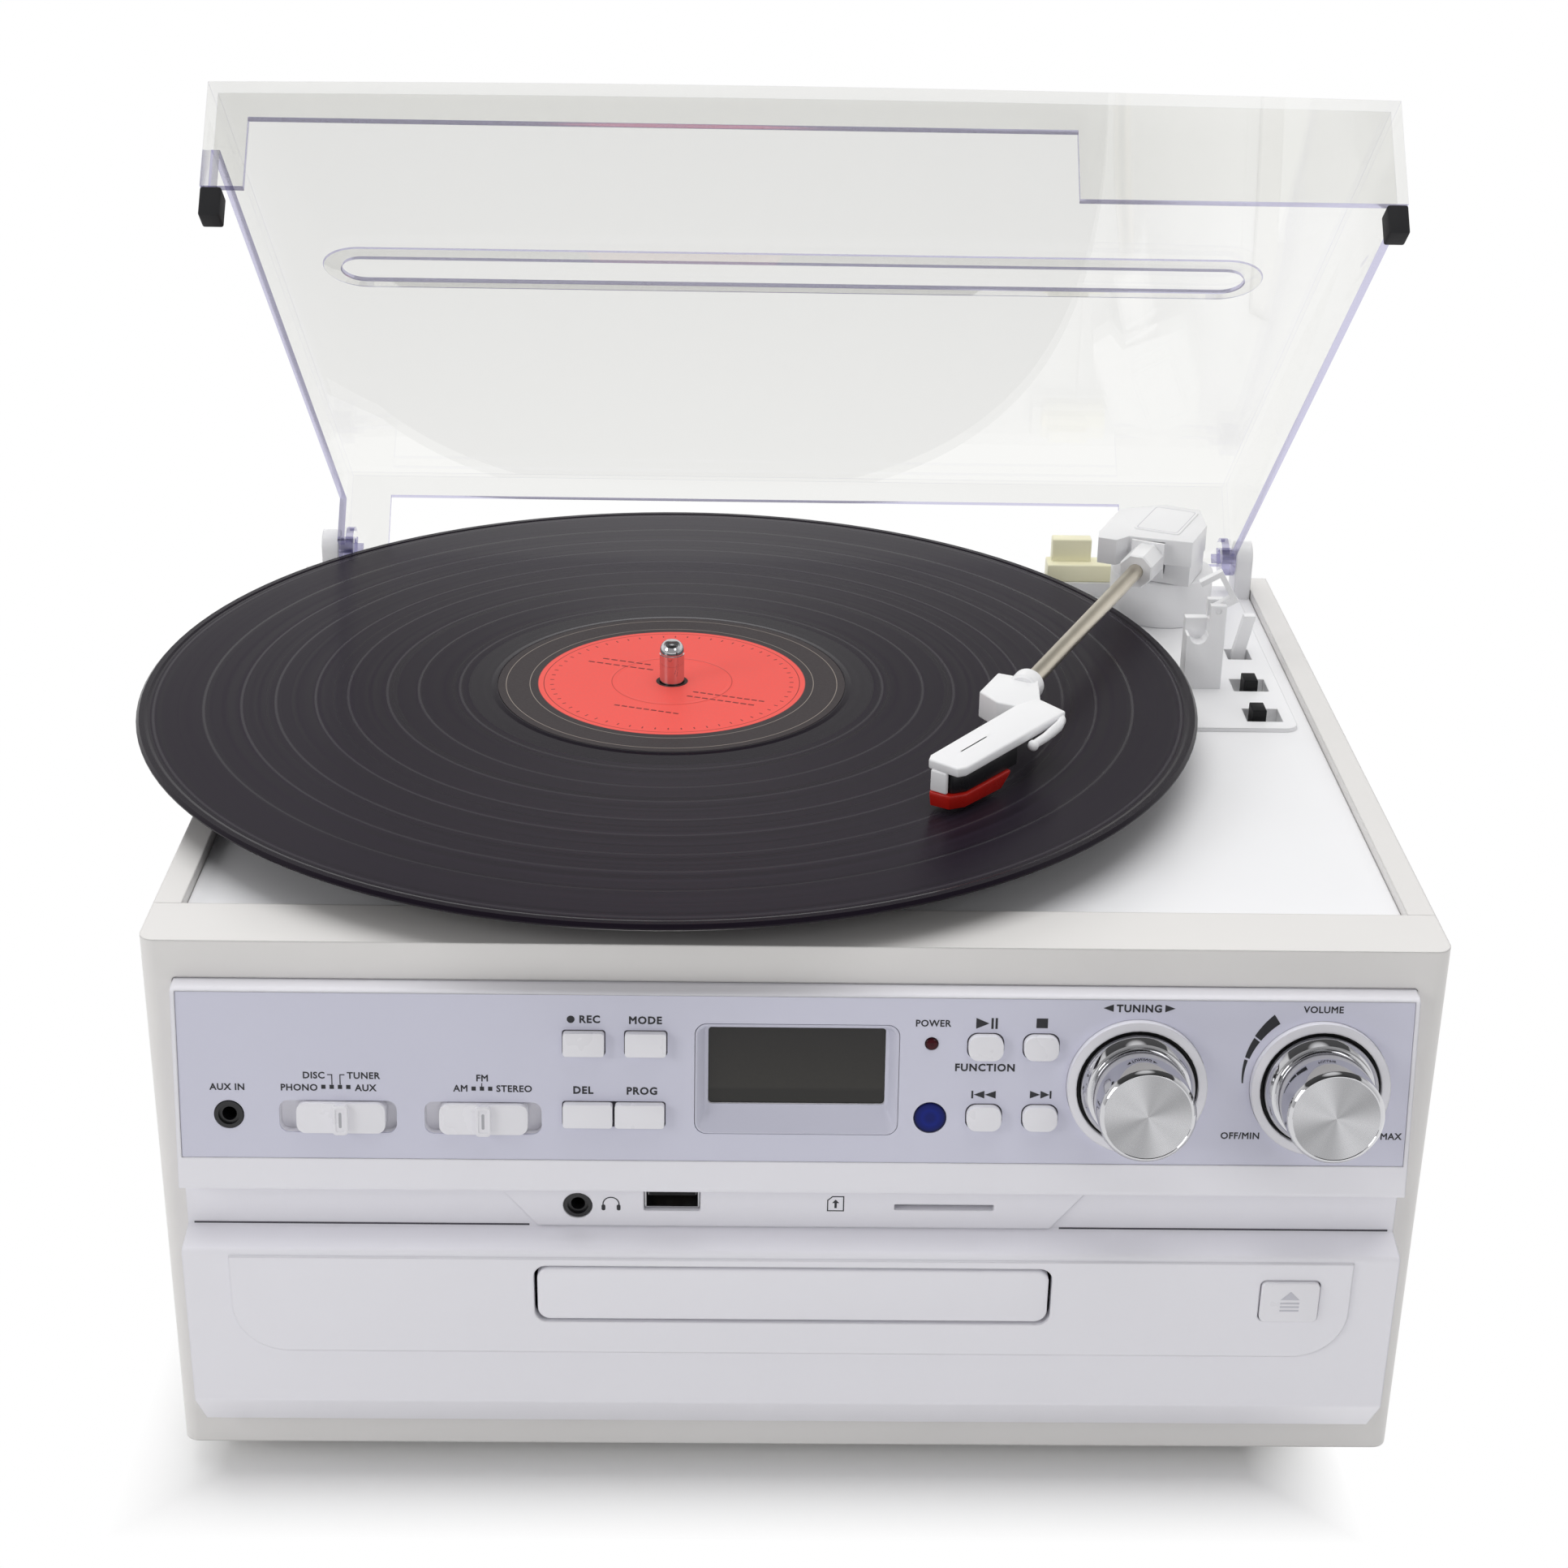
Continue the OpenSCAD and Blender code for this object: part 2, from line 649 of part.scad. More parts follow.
module headshell() {
    color("white") place() on_arm() {
        translate([0, 0, tube_z]) difference() {
            rod_x(4.6, arm_len, arm_len + 6);
            rod_x(tube_r - 0.6, arm_len - 1, arm_len + 2);
        }
        translate([arm_len + 3, -8.3, head_low]) linear_extrude(8)
            polygon([[0, 0], [15, 0], [20, 7], [20, 17], [13, 17], [0, 12]]);
        translate([0, 0, head_low + 3]) linear_extrude(head_top - head_low - 3) polygon(head_bar);
        translate([196.6, -4.8, head_low - 3.2]) cube([2.8, 5.2, 8]);
        translate([153, 17, head_low + 0.6]) hull() {
            translate([0, 0, 0]) cylinder(r = 1.2, h = 3.6, $fn = 24);
            translate([6, 0.8, 0]) cylinder(r = 1.2, h = 3, $fn = 24);
        }
        translate([159, 17.8, head_low + 0.6]) hull() {
            cylinder(r = 1.2, h = 3, $fn = 24);
            translate([13, -3, -0.6]) cylinder(r = 1.1, h = 2, $fn = 24);
        }
    }
}

module cartridge() {
    color("black") place() on_arm() translate([0, 0, head_low - 3.6])
        linear_extrude(6.6) polygon([[172, 2.6], [174, 11.6], [195.6, 5.4], [196.2, 4.6], [196.2, -4],
            [193, -4]]);
}

module stylus() {
    color("firebrick") place() on_arm() {
        translate([0, 0, head_low - 5.2]) linear_extrude(1.6)
            polygon([[180, 0.6], [182, 8.6], [196.4, 4.8], [196.4, -4]]);
        translate([stylus_u - 1, 1, tip_z]) cylinder(r1 = 0.25, r2 = 0.5, h = head_low - 5 - tip_z);
    }
}

module arm_rest() {
    color("white") place() difference() {
        union() {
            translate([rest_x - 3.8, rest_y - 4, platform_z])
                cube([stop_x + 4.8 - rest_x + 3.8, 8, tube_z - 6.6 - platform_z]);
            translate([rest_x - 3.8, rest_y + 1, platform_z])
                cube([stop_x - rest_x + 4.8, 3, tube_z - tube_r - gap - platform_z]);
            translate([stop_x, rest_y - 4, platform_z]) cube([4.8, 8, rest_top - platform_z]);
        }
        translate([rest_x - 0.3, 0, tube_z - 6.6]) rod_y(2.7, rest_y - 5, rest_y + 1);
        translate([stop_x - 1, rest_y - 1.6, clip_z - 3.4]) cube([7, 3.2, 10]);
        translate([clip_x, 0, clip_z]) rod_y(0.8 + run_fit, rest_y - 5, rest_y + 5);
    }
}

// the clip leans open beside the rest and folds over the parked tube
module rest_clip() {
    reach = clip_x - rest_x + tube_r + 0.9;
    color("white") place() translate([clip_x, rest_y, clip_z]) rotate([0, clip_open, 0]) {
        rod_y(0.8, -3.8, 3.8);
        translate([-1.2, -1.3, -1.2]) cube([2.4, 2.6, 7.7]);
        translate([-reach - 1.6, -1.3, 4.9]) cube([reach + 1.6, 2.6, 1.6]);
        translate([-reach - 1.6, -1.3, -1]) cube([1.6, 2.6, 7.5]);
    }
}

module cue_lever() {
    color("white") place() translate([lever_at[0], lever_at[1] + 1.2, lever_z]) {
        rotate([90, 0, 0]) translate([0, 0, -1.4]) linear_extrude(2.8)
            polygon([[-2, -2], [2, -2], [2.2, 8], [4.6, 20], [1, 20], [-1.6, 8]]);
        rod_x(1.2, -7, 7);
    }
}

module switch_knob(at, shift) {
    translate([at[0] + shift, at[1], deck_z - 3.6]) {
        translate([-switch_knob[0] / 2, -switch_knob[1] / 2, 0])
            cube([switch_knob[0], switch_knob[1], platform_t + 6.4]);
        translate([-stem_w / 2, -1.2, -9]) cube([stem_w, 2.4, 9]);
    }
}

module speed_knob() {
    color("black") place() switch_knob(switch_a, 0);
}

module stop_knob() {
    color("black") place() switch_knob(switch_b, stop_shift);
}

module adapter_stand() {
    color("khaki") place() translate([85, 248, deck_z + ledge_h]) {
        cube([14.5, 8.4, 13.5]);
        cube([21, 8.4, 6.5]);
    }
}

// holes through the front of the panel for everything that sits in it
module punch(at, size, y0, y1) {
    translate([at[0], 0, -at[1]])
        bar_y(size[0] + 2 * button_gap, size[1] + 2 * button_gap, size[2], y0, y1);
}

module control_holes(y0, y1) {
    for (at = [rec_at, mode_at]) punch(at, square_size, y0, y1);
    punch((del_at + prog_at) / 2, [prog_at[0] - del_at[0] + wide_size[0], wide_size[1], 0.8],
        y0, y1);
    for (at = [play_at, stop_at, prev_at, next_at]) punch(at, round_size, y0, y1);
    translate([jack_at[0], 0, -jack_at[1]]) rod_y(jack_r + 0.2, y0, y1);
    translate([led_at[0], 0, -led_at[1]]) rod_y(led_r + 0.1, y0, y1);
    translate([ir_at[0], 0, -ir_at[1]]) rod_y(ir_r + 0.1, y0, y1);
}

module recess_holes(y0, y1) {
    for (at = [fn_recess_at, band_recess_at])
        translate([at[0], 0, -at[1]]) bar_y(recess_w, recess_h, 2.4, y0, y1);
}

// pockets for the sliders, the display and the knobs, closed at the back
module tubs(grow, y0, y1) {
    for (at = [fn_recess_at, band_recess_at])
        translate([at[0], 0, -at[1]])
            bar_y(recess_w + 2 * grow, recess_h + 2 * grow, 2.4, y0, y1);
    translate([lcd_bezel_at[0], 0, -lcd_bezel_at[1]])
        bar_y(lcd_bezel[0] + 2 * grow, lcd_bezel[1] + 2 * grow, lcd_bezel[2], y0, y1);
    for (at = [tuning_at, volume_at])
        translate([at[0], 0, -at[1]]) rod_y(ring_in + grow, y0, y1);
}

module fascia_shell() {
    difference() {
        extrude_x(fascia_w) polygon(rounded(fascia_outline(0), outline_r));
        extrude_x(fascia_w - 2 * wall) polygon(fascia_outline(wall));
    }
    intersection() {
        extrude_x(fascia_w - wall) polygon(fascia_outline(0));
        on_panel() tubs(1.6, 0, tub_y + 1.6);
    }
    on_panel() for (at = [tuning_at, volume_at])
        translate([at[0], 0, -at[1]]) rod_y(ring_out, -ring_proud, 1);
    translate([0, 0, (field_low + low_top - 1.5) / 2])
        bar_y(field_w, low_top - 1.5 - field_low, field_r, -low_proud - field_t, -low_proud + 1);
    translate([-field_w / 2, -low_proud - field_t, low_top - 18])
        cube([field_w, field_t + 1, 16.5]);
    rotate([90, 0, 0]) translate([0, 0, band_proud - 0.5]) linear_extrude(port_t + 0.5)
        polygon([[-73, band_top - 0.5], [-64.4, band_low + 0.4], [64.6, band_low + 0.4],
            [73, band_top - 0.5]]);
}

module fascia() {
    color("white") place() difference() {
        fascia_shell();
        on_panel() {
            translate([-plate_w / 2, -0.6, -plate_top - plate_h])
                difference() {
                    cube([plate_w, 0.6 + recess_y, plate_h]);
                    for (at = [tuning_at, volume_at])
                        translate([at[0] + plate_w / 2, 0, plate_top + plate_h - at[1]])
                            rod_y(ring_out, -3, 3);
                }
            control_holes(-2, wall + 2);
            tubs(0, -ring_proud - 1, tub_y);
            translate([lcd_at[0], 0, -lcd_at[1]]) bar_y(lcd_w + 0.3, lcd_h + 0.3, 1, 0, tub_y + 3);
            for (at = [tuning_at, volume_at])
                translate([at[0], 0, -at[1]]) rod_y(shaft_r + 1.2, 0, tub_y + 3);
            translate([fn_slider_x - slider_step - stem_w / 2 - slider_step - slot_play, 0,
                -fn_recess_at[1] - 1.35])
                cube([stem_w + 3 * slider_step + 2 * slot_play, tub_y + 3, 2.7]);
            translate([band_slider_x - slider_step - stem_w / 2 - slot_play, 0,
                -band_recess_at[1] - 1.35])
                cube([stem_w + 2 * slider_step + 2 * slot_play, tub_y + 3, 2.7]);
        }
        translate([0, 0, door_z])
            bar_y(door_w + 2 * door_gap, door_h + 2 * door_gap, door_r, -low_proud - 2, 0);
        translate([eject_at[0], 0, eject_at[1]]) bar_y(eject_size[0] + 2 * button_gap,
            eject_size[1] + 2 * button_gap, eject_size[2], -low_proud - 2, 0);
        translate([phones_at[0], 0, phones_at[1]]) rod_y(jack_r + 0.2, -band_proud - 2, 0);
        translate([usb_at[0], 0, usb_at[1]])
            bar_y(usb_size[0] + 0.4, usb_size[1] + 0.4, 0.3, -band_proud - 2, 0);
        translate([card_at[0], 0, card_at[1]])
            bar_y(card_size[0], card_size[1], 0.3, -band_proud - 2, 0);
    }
}

module control_plate() {
    color("lavender") place() on_panel() difference() {
        translate([-plate_w / 2 + 0.1, recess_y - plate_t, -plate_top - plate_h + 0.1])
            cube([plate_w - 0.2, plate_t, plate_h - 0.2]);
        control_holes(-1, 3);
        recess_holes(-1, 3);
        translate([lcd_bezel_at[0], 0, -lcd_bezel_at[1]])
            bar_y(lcd_bezel[0], lcd_bezel[1], lcd_bezel[2], -1, 3);
        for (at = [tuning_at, volume_at])
            translate([at[0], 0, -at[1]]) rod_y(ring_out + 0.1, -1, 3);
    }
}

module display_window() {
    color("darkolivegreen") place() on_panel(lcd_at)
        bar_y(lcd_w, lcd_h, 0.8, lcd_back, lcd_back + 1.6);
}

module power_lamp() {
    color("darkred") place() on_panel(led_at) {
        rod_y(led_r, -0.4, 8);
        rod_y(led_r + 0.6, 5, board_y);
    }
}

module remote_window() {
    color("darkblue") place() on_panel(ir_at) {
        rod_y(ir_r, 0.1, 4);
        rod_y(ir_r + 1.2, wall + 0.1, 4);
        rod_y(2.5, 4, board_y);
    }
}

module jack() {
    difference() {
        union() {
            rod_y(jack_r, 0, 4);
            translate([-4.2, 4, -4.2]) cube([8.4, jack_len - 4, 8.4]);
        }
        rod_y(jack_bore, -1, jack_len - 1.5);
        rod_y(jack_bore + 0.8, -1, 0.8);
    }
}

module jack_sockets() {
    color("black") place() {
        on_panel(jack_at) jack();
        translate([phones_at[0], -band_proud - 0.4, phones_at[1]]) jack();
    }
}

module media_sockets() {
    color("silver") place() {
        translate([usb_at[0], -band_proud + 0.4, usb_at[1]]) difference() {
            bar_y(usb_size[0], usb_size[1], 0.3, 0, 15);
            bar_y(usb_size[0] - 0.8, usb_size[1] - 0.8, 0.2, -1, 14.4);
        }
        translate([usb_at[0] - 6, -band_proud + 1.6, usb_at[1] + 0.4]) cube([12, 13.5, 1.6]);
        translate([card_at[0], -band_proud + wall + 0.2, card_at[1]]) difference() {
            translate([-15, 0, -2]) cube([30, 22, 4]);
            translate([-13, -1, -0.8]) cube([26, 22, 1.6]);
        }
    }
}

module rotary_controls() {
    color("gray") place() for (at = [tuning_at, volume_at]) on_panel(at) difference() {
        union() {
            translate([-8, tub_y + 1.8, -8]) cube([16, board_y - tub_y - 1.8, 16]);
            rod_y(shaft_r + 0.9, tub_y + 0.4, board_y);
        }
        rod_y(shaft_r + run_fit, 0, board_y - 0.8);
    }
}

module circuit_boards() {
    color("seagreen") place() {
        on_panel() {
            difference() {
                translate([-146, board_y, -47.6]) cube([292, board_t, 43.6]);
                translate([jack_at[0] - 5, board_y - 1, -jack_at[1] - 5]) cube([10, 4, 10]);
            }
            for (at = [rec_at, mode_at, del_at, prog_at, play_at, stop_at, prev_at, next_at])
                translate([at[0] - 2.2, board_y - 1.2, -at[1] - 2.2]) cube([4.4, 1.2, 4.4]);
            translate([-24, lcd_back + 1.6, -32]) cube([48, board_y - lcd_back - 1.6, 24]);
            for (x = [fn_slider_x, band_slider_x])
                translate([x - 10, board_y - 1.4, -36]) cube([20, 1.4, 5]);
        }
        translate([-142, 60, floor_z + 6]) cube([60, 150, board_t]);
        for (x = [-136, -88], y = [66, 204])
            translate([x, y, floor_z]) cylinder(r = 3, h = 6);
        for (i = [0 : 3]) translate([-133 + i * 14, 190, floor_z + 6 + board_t])
            cylinder(r = 5, h = 16);
        translate([-136, 86, floor_z + 6 + board_t]) cube([44, 12, 22]);
        translate([-128, 126, floor_z + 6 + board_t]) cube([22, 22, 2.4]);
    }
}

module button(at, size) {
    color("white") place() on_panel(at) {
        bar_y(size[0], size[1], size[2], -button_proud, 5.4);
        bar_y(size[0] + 0.2, size[1] + 1.6, 0.8, wall + 2 * gap, 4.6);
        rod_y(1.5, 5.4, board_y - 1.2 - button_travel - gap);
    }
}

module record_button() { button(rec_at, square_size); }
module mode_button() { button(mode_at, square_size); }
module delete_button() { button(del_at, wide_size); }
module program_button() { button(prog_at, wide_size); }
module play_button() { button(play_at, round_size); }
module stop_button() { button(stop_at, round_size); }
module previous_button() { button(prev_at, round_size); }
module next_button() { button(next_at, round_size); }

module eject_button() {
    color("white") place() translate([eject_at[0], -low_proud, eject_at[1]]) {
        bar_y(eject_size[0], eject_size[1], eject_size[2], -field_t - 0.9, 5.4);
        bar_y(eject_size[0] + 2, eject_size[1] + 1.6, 1, wall + gap, 4.4);
    }
}

module slider(x, at) {
    color("white") place() on_panel([x, at[1]]) {
        bar_y(slider_w, slider_h, 2.2, cap_y, tub_y - gap);
        bar_y(pointer_w, slider_h, 1, pointer_y, 0);
        translate([-stem_w / 2, 0, -1]) cube([stem_w, board_y - 1.4 - gap, 2]);
    }
}

module function_slider() { slider(fn_slider_x, fn_recess_at); }
module band_slider() { slider(band_slider_x, band_recess_at); }

module knob(at) {
    color("silver") place() on_panel(at) rotate([90, 0, 0]) {
        rotate_extrude($fn = 96) polygon([[0, -tub_y + gap], [flange_r, -tub_y + gap],
            [flange_r, 3.4], [flange_r - 1.6, 5], [knob_r, 5], [knob_r, knob_len - 0.8],
            [knob_r - 0.7, knob_len], [0, knob_len]]);
        translate([0, 0, -board_y + 1.2]) cylinder(r = shaft_r, h = board_y);
    }
}

module tuning_knob() { knob(tuning_at); }
module volume_knob() { knob(volume_at); }

module disc_tray() {
    color("gray") place() difference() {
        translate([-tray_w / 2, -low_proud + 2.8, tray_z]) cube([tray_w, tray_len, tray_t]);
        translate([0, disc_y, tray_z + tray_t - 2]) cylinder(r = disc_r, h = 3, $fn = 128);
        translate([0, disc_y, tray_z - 1]) cylinder(r = 16, h = tray_t + 2);
        translate([-17, disc_y, tray_z - 1]) cube([34, tray_len - disc_r - 18, tray_t + 2]);
    }
}

module tray_door() {
    color("white") place() translate([0, 0, door_z])
        bar_y(door_w, door_h, door_r, -low_proud - field_t, -low_proud + 2.8);
}

module disc_mechanism() {
    color("dimgray") place() {
        difference() {
            translate([-chassis_w / 2, chassis_y, chassis_z])
                cube([chassis_w, chassis_len, chassis_h]);
            translate([-tray_w / 2 - 0.6, chassis_y - 1, tray_z - 0.4])
                cube([tray_w + 1.2, chassis_len - 2, chassis_h - (tray_z - chassis_z) - 2]);
            translate([-tray_w / 2 + 8, chassis_y - 1, chassis_z + 2])
                cube([tray_w - 16, chassis_len - 2, chassis_h - 8]);
        }
        for (x = [-1, 1], y = [28, 165])
            translate([x * 62, y, floor_z]) cylinder(r = 5, h = chassis_z - floor_z);
    }
}

module speakers() {
    color("black") place() for (s = [-1, 1])
        translate([s * inner_w / 2, speaker_y, speaker_z]) rotate([0, -90 * s, 0])
            rotate_extrude($fn = 96) polygon([[0, 12], [12, 12], [speaker_r - 5, 2],
                [speaker_r - 5, 0], [speaker_r + 2, 0], [speaker_r + 2, 2], [speaker_r - 3, 3],
                [16, 18], [18, 18], [18, 30], [0, 30]]);
}

module transformer() {
    color("gray") place() translate([92, 185, floor_z]) {
        difference() {
            cube([42, 34, 36]);
            translate([8, -1, 8]) cube([7, 36, 20]);
            translate([27, -1, 8]) cube([7, 36, 20]);
        }
        translate([8.2, -5, 8.2]) cube([25.6, 5, 19.6]);
        translate([8.2, 34, 8.2]) cube([25.6, 5, 19.6]);
    }
}

module mains_inlet() {
    color("black") place() translate([inlet_at[0], 0, inlet_at[1]]) difference() {
        union() {
            bar_y(inlet_size[0], inlet_size[1], 2, back_in - 18, cab_d);
            bar_y(inlet_size[0] + 6, inlet_size[1] + 6, 2, cab_d, cab_d + 2);
        }
        difference() {
            bar_y(15, 8, 3.9, cab_d - 12, cab_d + 3);
            for (s = [-1, 1]) translate([s * 4.3, 0, 0]) rod_y(1.2, cab_d - 13, cab_d - 1);
        }
    }
}

module line_outputs() {
    color("gold") place() for (p = rca_at) translate([p[0], 0, p[1]]) difference() {
        union() {
            rod_y(rca_r, back_in - 6, cab_d + 8);
            rod_y(rca_r + 2, cab_d, cab_d + 1.2);
        }
        rod_y(1.6, cab_d - 6, cab_d + 9);
        difference() {
            rod_y(rca_r - 0.8, cab_d + 1, cab_d + 9);
            rod_y(2.5, cab_d, cab_d + 7);
        }
    }
}

module lid() {
    color("lavender", 0.4) place() on_lid() difference() {
        union() {
            difference() {
                translate([-lid_w / 2, -lid_len, lid_low])
                    cube([lid_w, lid_len + lid_back, lid_depth]);
                translate([-lid_w / 2 + lid_t, -lid_len + lid_t, lid_low - 1])
                    cube([lid_w - 2 * lid_t, lid_len + lid_back - 2 * lid_t, lid_depth - lid_t + 1]);
                translate([rec_x - notch_half, -lid_len - 1, lid_low - 1])
                    cube([2 * notch_half, lid_t + 2, lid_depth - 10]);
                translate([-lid_w / 2 - 1, -lid_len + 9, lid_low - 1])
                    cube([lid_t + 2, lid_len - 18, lid_side_cut + 1]);
                translate([-132, lid_back - lid_t - 1, lid_low - 1])
                    cube([242, lid_t + 2, lid_depth - 8]);
            }
            for (s = [-1, 1]) translate([s * (lid_w / 2 - lug_w / 2) - lug_w / 2, 0, 0])
                rod_x(lug_r, 0, lug_w);
        }
        for (s = [-1, 1]) translate([s * (lid_w / 2 - lug_w / 2) - lug_w, 0, 0])
            rod_x(pin_r + run_fit, 0, 2 * lug_w);
    }
}

module lid_bumpers() {
    color("black") place() on_lid() for (s = [-1, 1])
        translate([s * (lid_w / 2 - 2.6) - 2.6, -lid_len, lid_low])
            translate([0, 0.2, -(hinge_z + lid_low - case_top) + gap])
                cube([5.2, bumper_len - 0.4, hinge_z + lid_low - case_top - gap]);
}

front_frame();
side_boards();
base_board();
rear_board();
feet();
case_screws();
top_deck();
bearing_bush();
drive_motor();
drive_belt();
motor_pulley();
platter();
platter_mat();
spindle();
record();
record_label();
arm_base();
arm_housing();
arm_sleeve();
arm_tube();
headshell();
cartridge();
stylus();
arm_rest();
rest_clip();
cue_lever();
speed_knob();
stop_knob();
adapter_stand();
fascia();
control_plate();
display_window();
power_lamp();
remote_window();
jack_sockets();
media_sockets();
rotary_controls();
circuit_boards();
record_button();
mode_button();
delete_button();
program_button();
play_button();
stop_button();
previous_button();
next_button();
eject_button();
function_slider();
band_slider();
tuning_knob();
volume_knob();
disc_tray();
tray_door();
disc_mechanism();
speakers();
transformer();
mains_inlet();
line_outputs();
lid();
lid_bumpers();
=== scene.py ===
"""Looks of a table-top stereo music centre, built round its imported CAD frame."""

import json
from math import cos, pi, radians, sin, tau

import bmesh
import bpy
from bpy.props import FloatProperty, FloatVectorProperty, IntProperty, PointerProperty
from mathutils import Matrix, Vector

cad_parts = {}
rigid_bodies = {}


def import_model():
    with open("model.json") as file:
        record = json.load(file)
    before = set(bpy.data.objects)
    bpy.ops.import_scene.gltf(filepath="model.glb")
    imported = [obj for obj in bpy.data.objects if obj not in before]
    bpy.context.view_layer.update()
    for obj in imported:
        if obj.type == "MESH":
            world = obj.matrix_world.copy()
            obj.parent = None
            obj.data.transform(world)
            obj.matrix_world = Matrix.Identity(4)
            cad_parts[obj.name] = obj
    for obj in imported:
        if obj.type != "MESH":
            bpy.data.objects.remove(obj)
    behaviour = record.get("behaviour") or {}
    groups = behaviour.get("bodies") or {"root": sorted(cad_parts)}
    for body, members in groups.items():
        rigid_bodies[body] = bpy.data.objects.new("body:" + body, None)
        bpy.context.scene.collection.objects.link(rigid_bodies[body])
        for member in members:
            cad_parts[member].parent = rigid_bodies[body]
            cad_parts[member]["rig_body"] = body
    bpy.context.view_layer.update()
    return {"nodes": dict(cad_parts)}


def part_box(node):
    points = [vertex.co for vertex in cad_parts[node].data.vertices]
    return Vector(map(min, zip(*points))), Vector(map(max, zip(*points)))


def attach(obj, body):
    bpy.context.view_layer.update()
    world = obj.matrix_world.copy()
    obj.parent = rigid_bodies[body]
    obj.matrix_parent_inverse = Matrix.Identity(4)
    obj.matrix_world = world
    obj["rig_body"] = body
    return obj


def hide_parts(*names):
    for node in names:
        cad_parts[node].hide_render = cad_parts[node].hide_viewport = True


bl_info = {
    "name": "Music centre",
    "version": (1, 0, 0),
    "blender": (4, 5, 0),
    "location": "View3D > Sidebar > Music centre",
    "description": "Finishes and fine detail of a table-top stereo music centre",
    "category": "Object",
}

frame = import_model()
NODES = frame["nodes"]


def middle(node):
    low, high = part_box(node)
    return (low + high) / 2


def moved(x=0.0, y=0.0, z=0.0):
    return Matrix.Translation((x, y, z))


def turned(degrees, axis):
    return Matrix.Rotation(radians(degrees), 4, axis)


# the CAD is drawn in millimetres from the middle of the case's front edge
MM = Matrix.Scale(0.001, 4)
PIN = middle("record")
CASE = moved(PIN.x + 0.035, PIN.y - 0.14) @ MM
PANEL = CASE @ moved(0, -4.9, 147.5) @ turned(-9.3, "X")
ARM = CASE @ moved(120.5, 235.5) @ turned(245.5, "Z")
LID = CASE @ moved(0, 255, 168) @ turned(-41.5, "X")
UPRIGHT = turned(90, "X")
LAMP_AT, WINDOW_AT = (32.8, 12.6), (32.9, 32)


def on_panel(x, s):
    """Place on the tilted panel: x across, s down from its top edge."""
    return PANEL @ moved(x, 0, -s)


def at_pin(z=0.0):
    """Place on the axis of the record, z metres up, with millimetres counted from there."""
    return moved(PIN.x, PIN.y, z) @ MM


def ink(red, green, blue):
    """A colour as a screen shows it, turned to the linear values that shaders take."""
    return tuple(((c / 255 + 0.055) / 1.055) ** 2.4 if c > 10 else c / 3295 for c in (red, green, blue))


# ---------------------------------------------------------------- sizes and colours


def colour(name, text, *value):
    return FloatVectorProperty(name=name, description=text, subtype="COLOR", size=3, min=0, max=1, default=ink(*value))


def number(name, text, value, kind=FloatProperty, **limits):
    return kind(name=name, description=text, default=value, **{"min": 0, **limits})


def size(name, text, value):
    return number(name, text + ", in millimetres", value, soft_max=value * 4)


class StageSettings(bpy.types.PropertyGroup):
    floor_colour: colour("Floor", "Colour of the floor under the object", 247, 247, 247)
    world_light: number("Room light", "Strength of the light from all round", 0.62)
    top_light: number("Top light", "Power of the lamp above", 15, unit="POWER")
    front_light: number("Front light", "Power of the stronger lamp in front", 9, unit="POWER")
    floor_glow: number("Floor glow", "Plain white of the floor close to the object", 0.05, max=1)


class CaseSettings(bpy.types.PropertyGroup):
    paint: colour("Case paint", "White lacquer of the case", 230, 228, 226)
    deck: colour("Deck", "Moulded deck and arm parts", 244, 244, 246)
    fascia: colour("Fascia", "Moulded front", 240, 239, 245)
    plate: colour("Control plate", "Lavender grey plate behind the controls", 213, 213, 229)
    rounding: size("Edge rounding", "Softening of moulded edges", 0.5)


class TurntableSettings(bpy.types.PropertyGroup):
    vinyl: colour("Vinyl", "Black of the record", 34, 28, 38)
    label: colour("Label", "Main colour of the paper label", 243, 92, 84)
    label_ring: colour("Label ring", "Dark ring round the label", 62, 56, 58)
    ring_from: size("Ring radius", "Inner radius of the dark ring", 38.5)
    ticks: number("Label marks", "Short marks round the label", 60, IntProperty, max=200)
    ribs: number("Mat ribs", "Raised rings of the mat", 9, IntProperty, min=1, max=24)


class ArmSettings(bpy.types.PropertyGroup):
    tube: colour("Arm tube", "Champagne metal of the tube", 208, 200, 184)
    stylus: colour("Stylus holder", "Red plastic", 190, 30, 20)
    cream: colour("Cream block", "Pale yellow plastic behind the arm", 252, 248, 216)
    rounding: size("Edge rounding", "Softening of the arm's edges", 0.7)


class ControlSettings(bpy.types.PropertyGroup):
    print_colour: colour("Print", "Dark print on the plate", 34, 34, 40)
    button: colour("Buttons", "Moulded buttons and sliders", 238, 237, 242)
    knob: colour("Knobs", "Bright metal of the knobs", 228, 228, 231)
    knob_radius: size("Knob radius", "Radius of the knob's body", 11.8)
    knob_length: size("Knob length", "How far the knob stands out", 20)
    knob_bevel: size("Knob bevel", "Width of the polished rim", 1.0)
    letter: size("Lettering", "Height of the capital letters", 1.85)


class LidSettings(bpy.types.PropertyGroup):
    tint: colour("Lid tint", "Colour of light that comes through the lid", 252, 252, 251)
    edge: colour("Lid edge", "Colour along the lid's cut edges", 206, 204, 226)
    rounding: size("Lid rounding", "Softening of the lid's edges", 0.7)
    arch: size("Arch", "How far the lid's top falls at its sides", 1.3)
    groove_half: size("Groove", "Half the height of the long groove", 11.5)


# ---------------------------------------------------------------- finishes


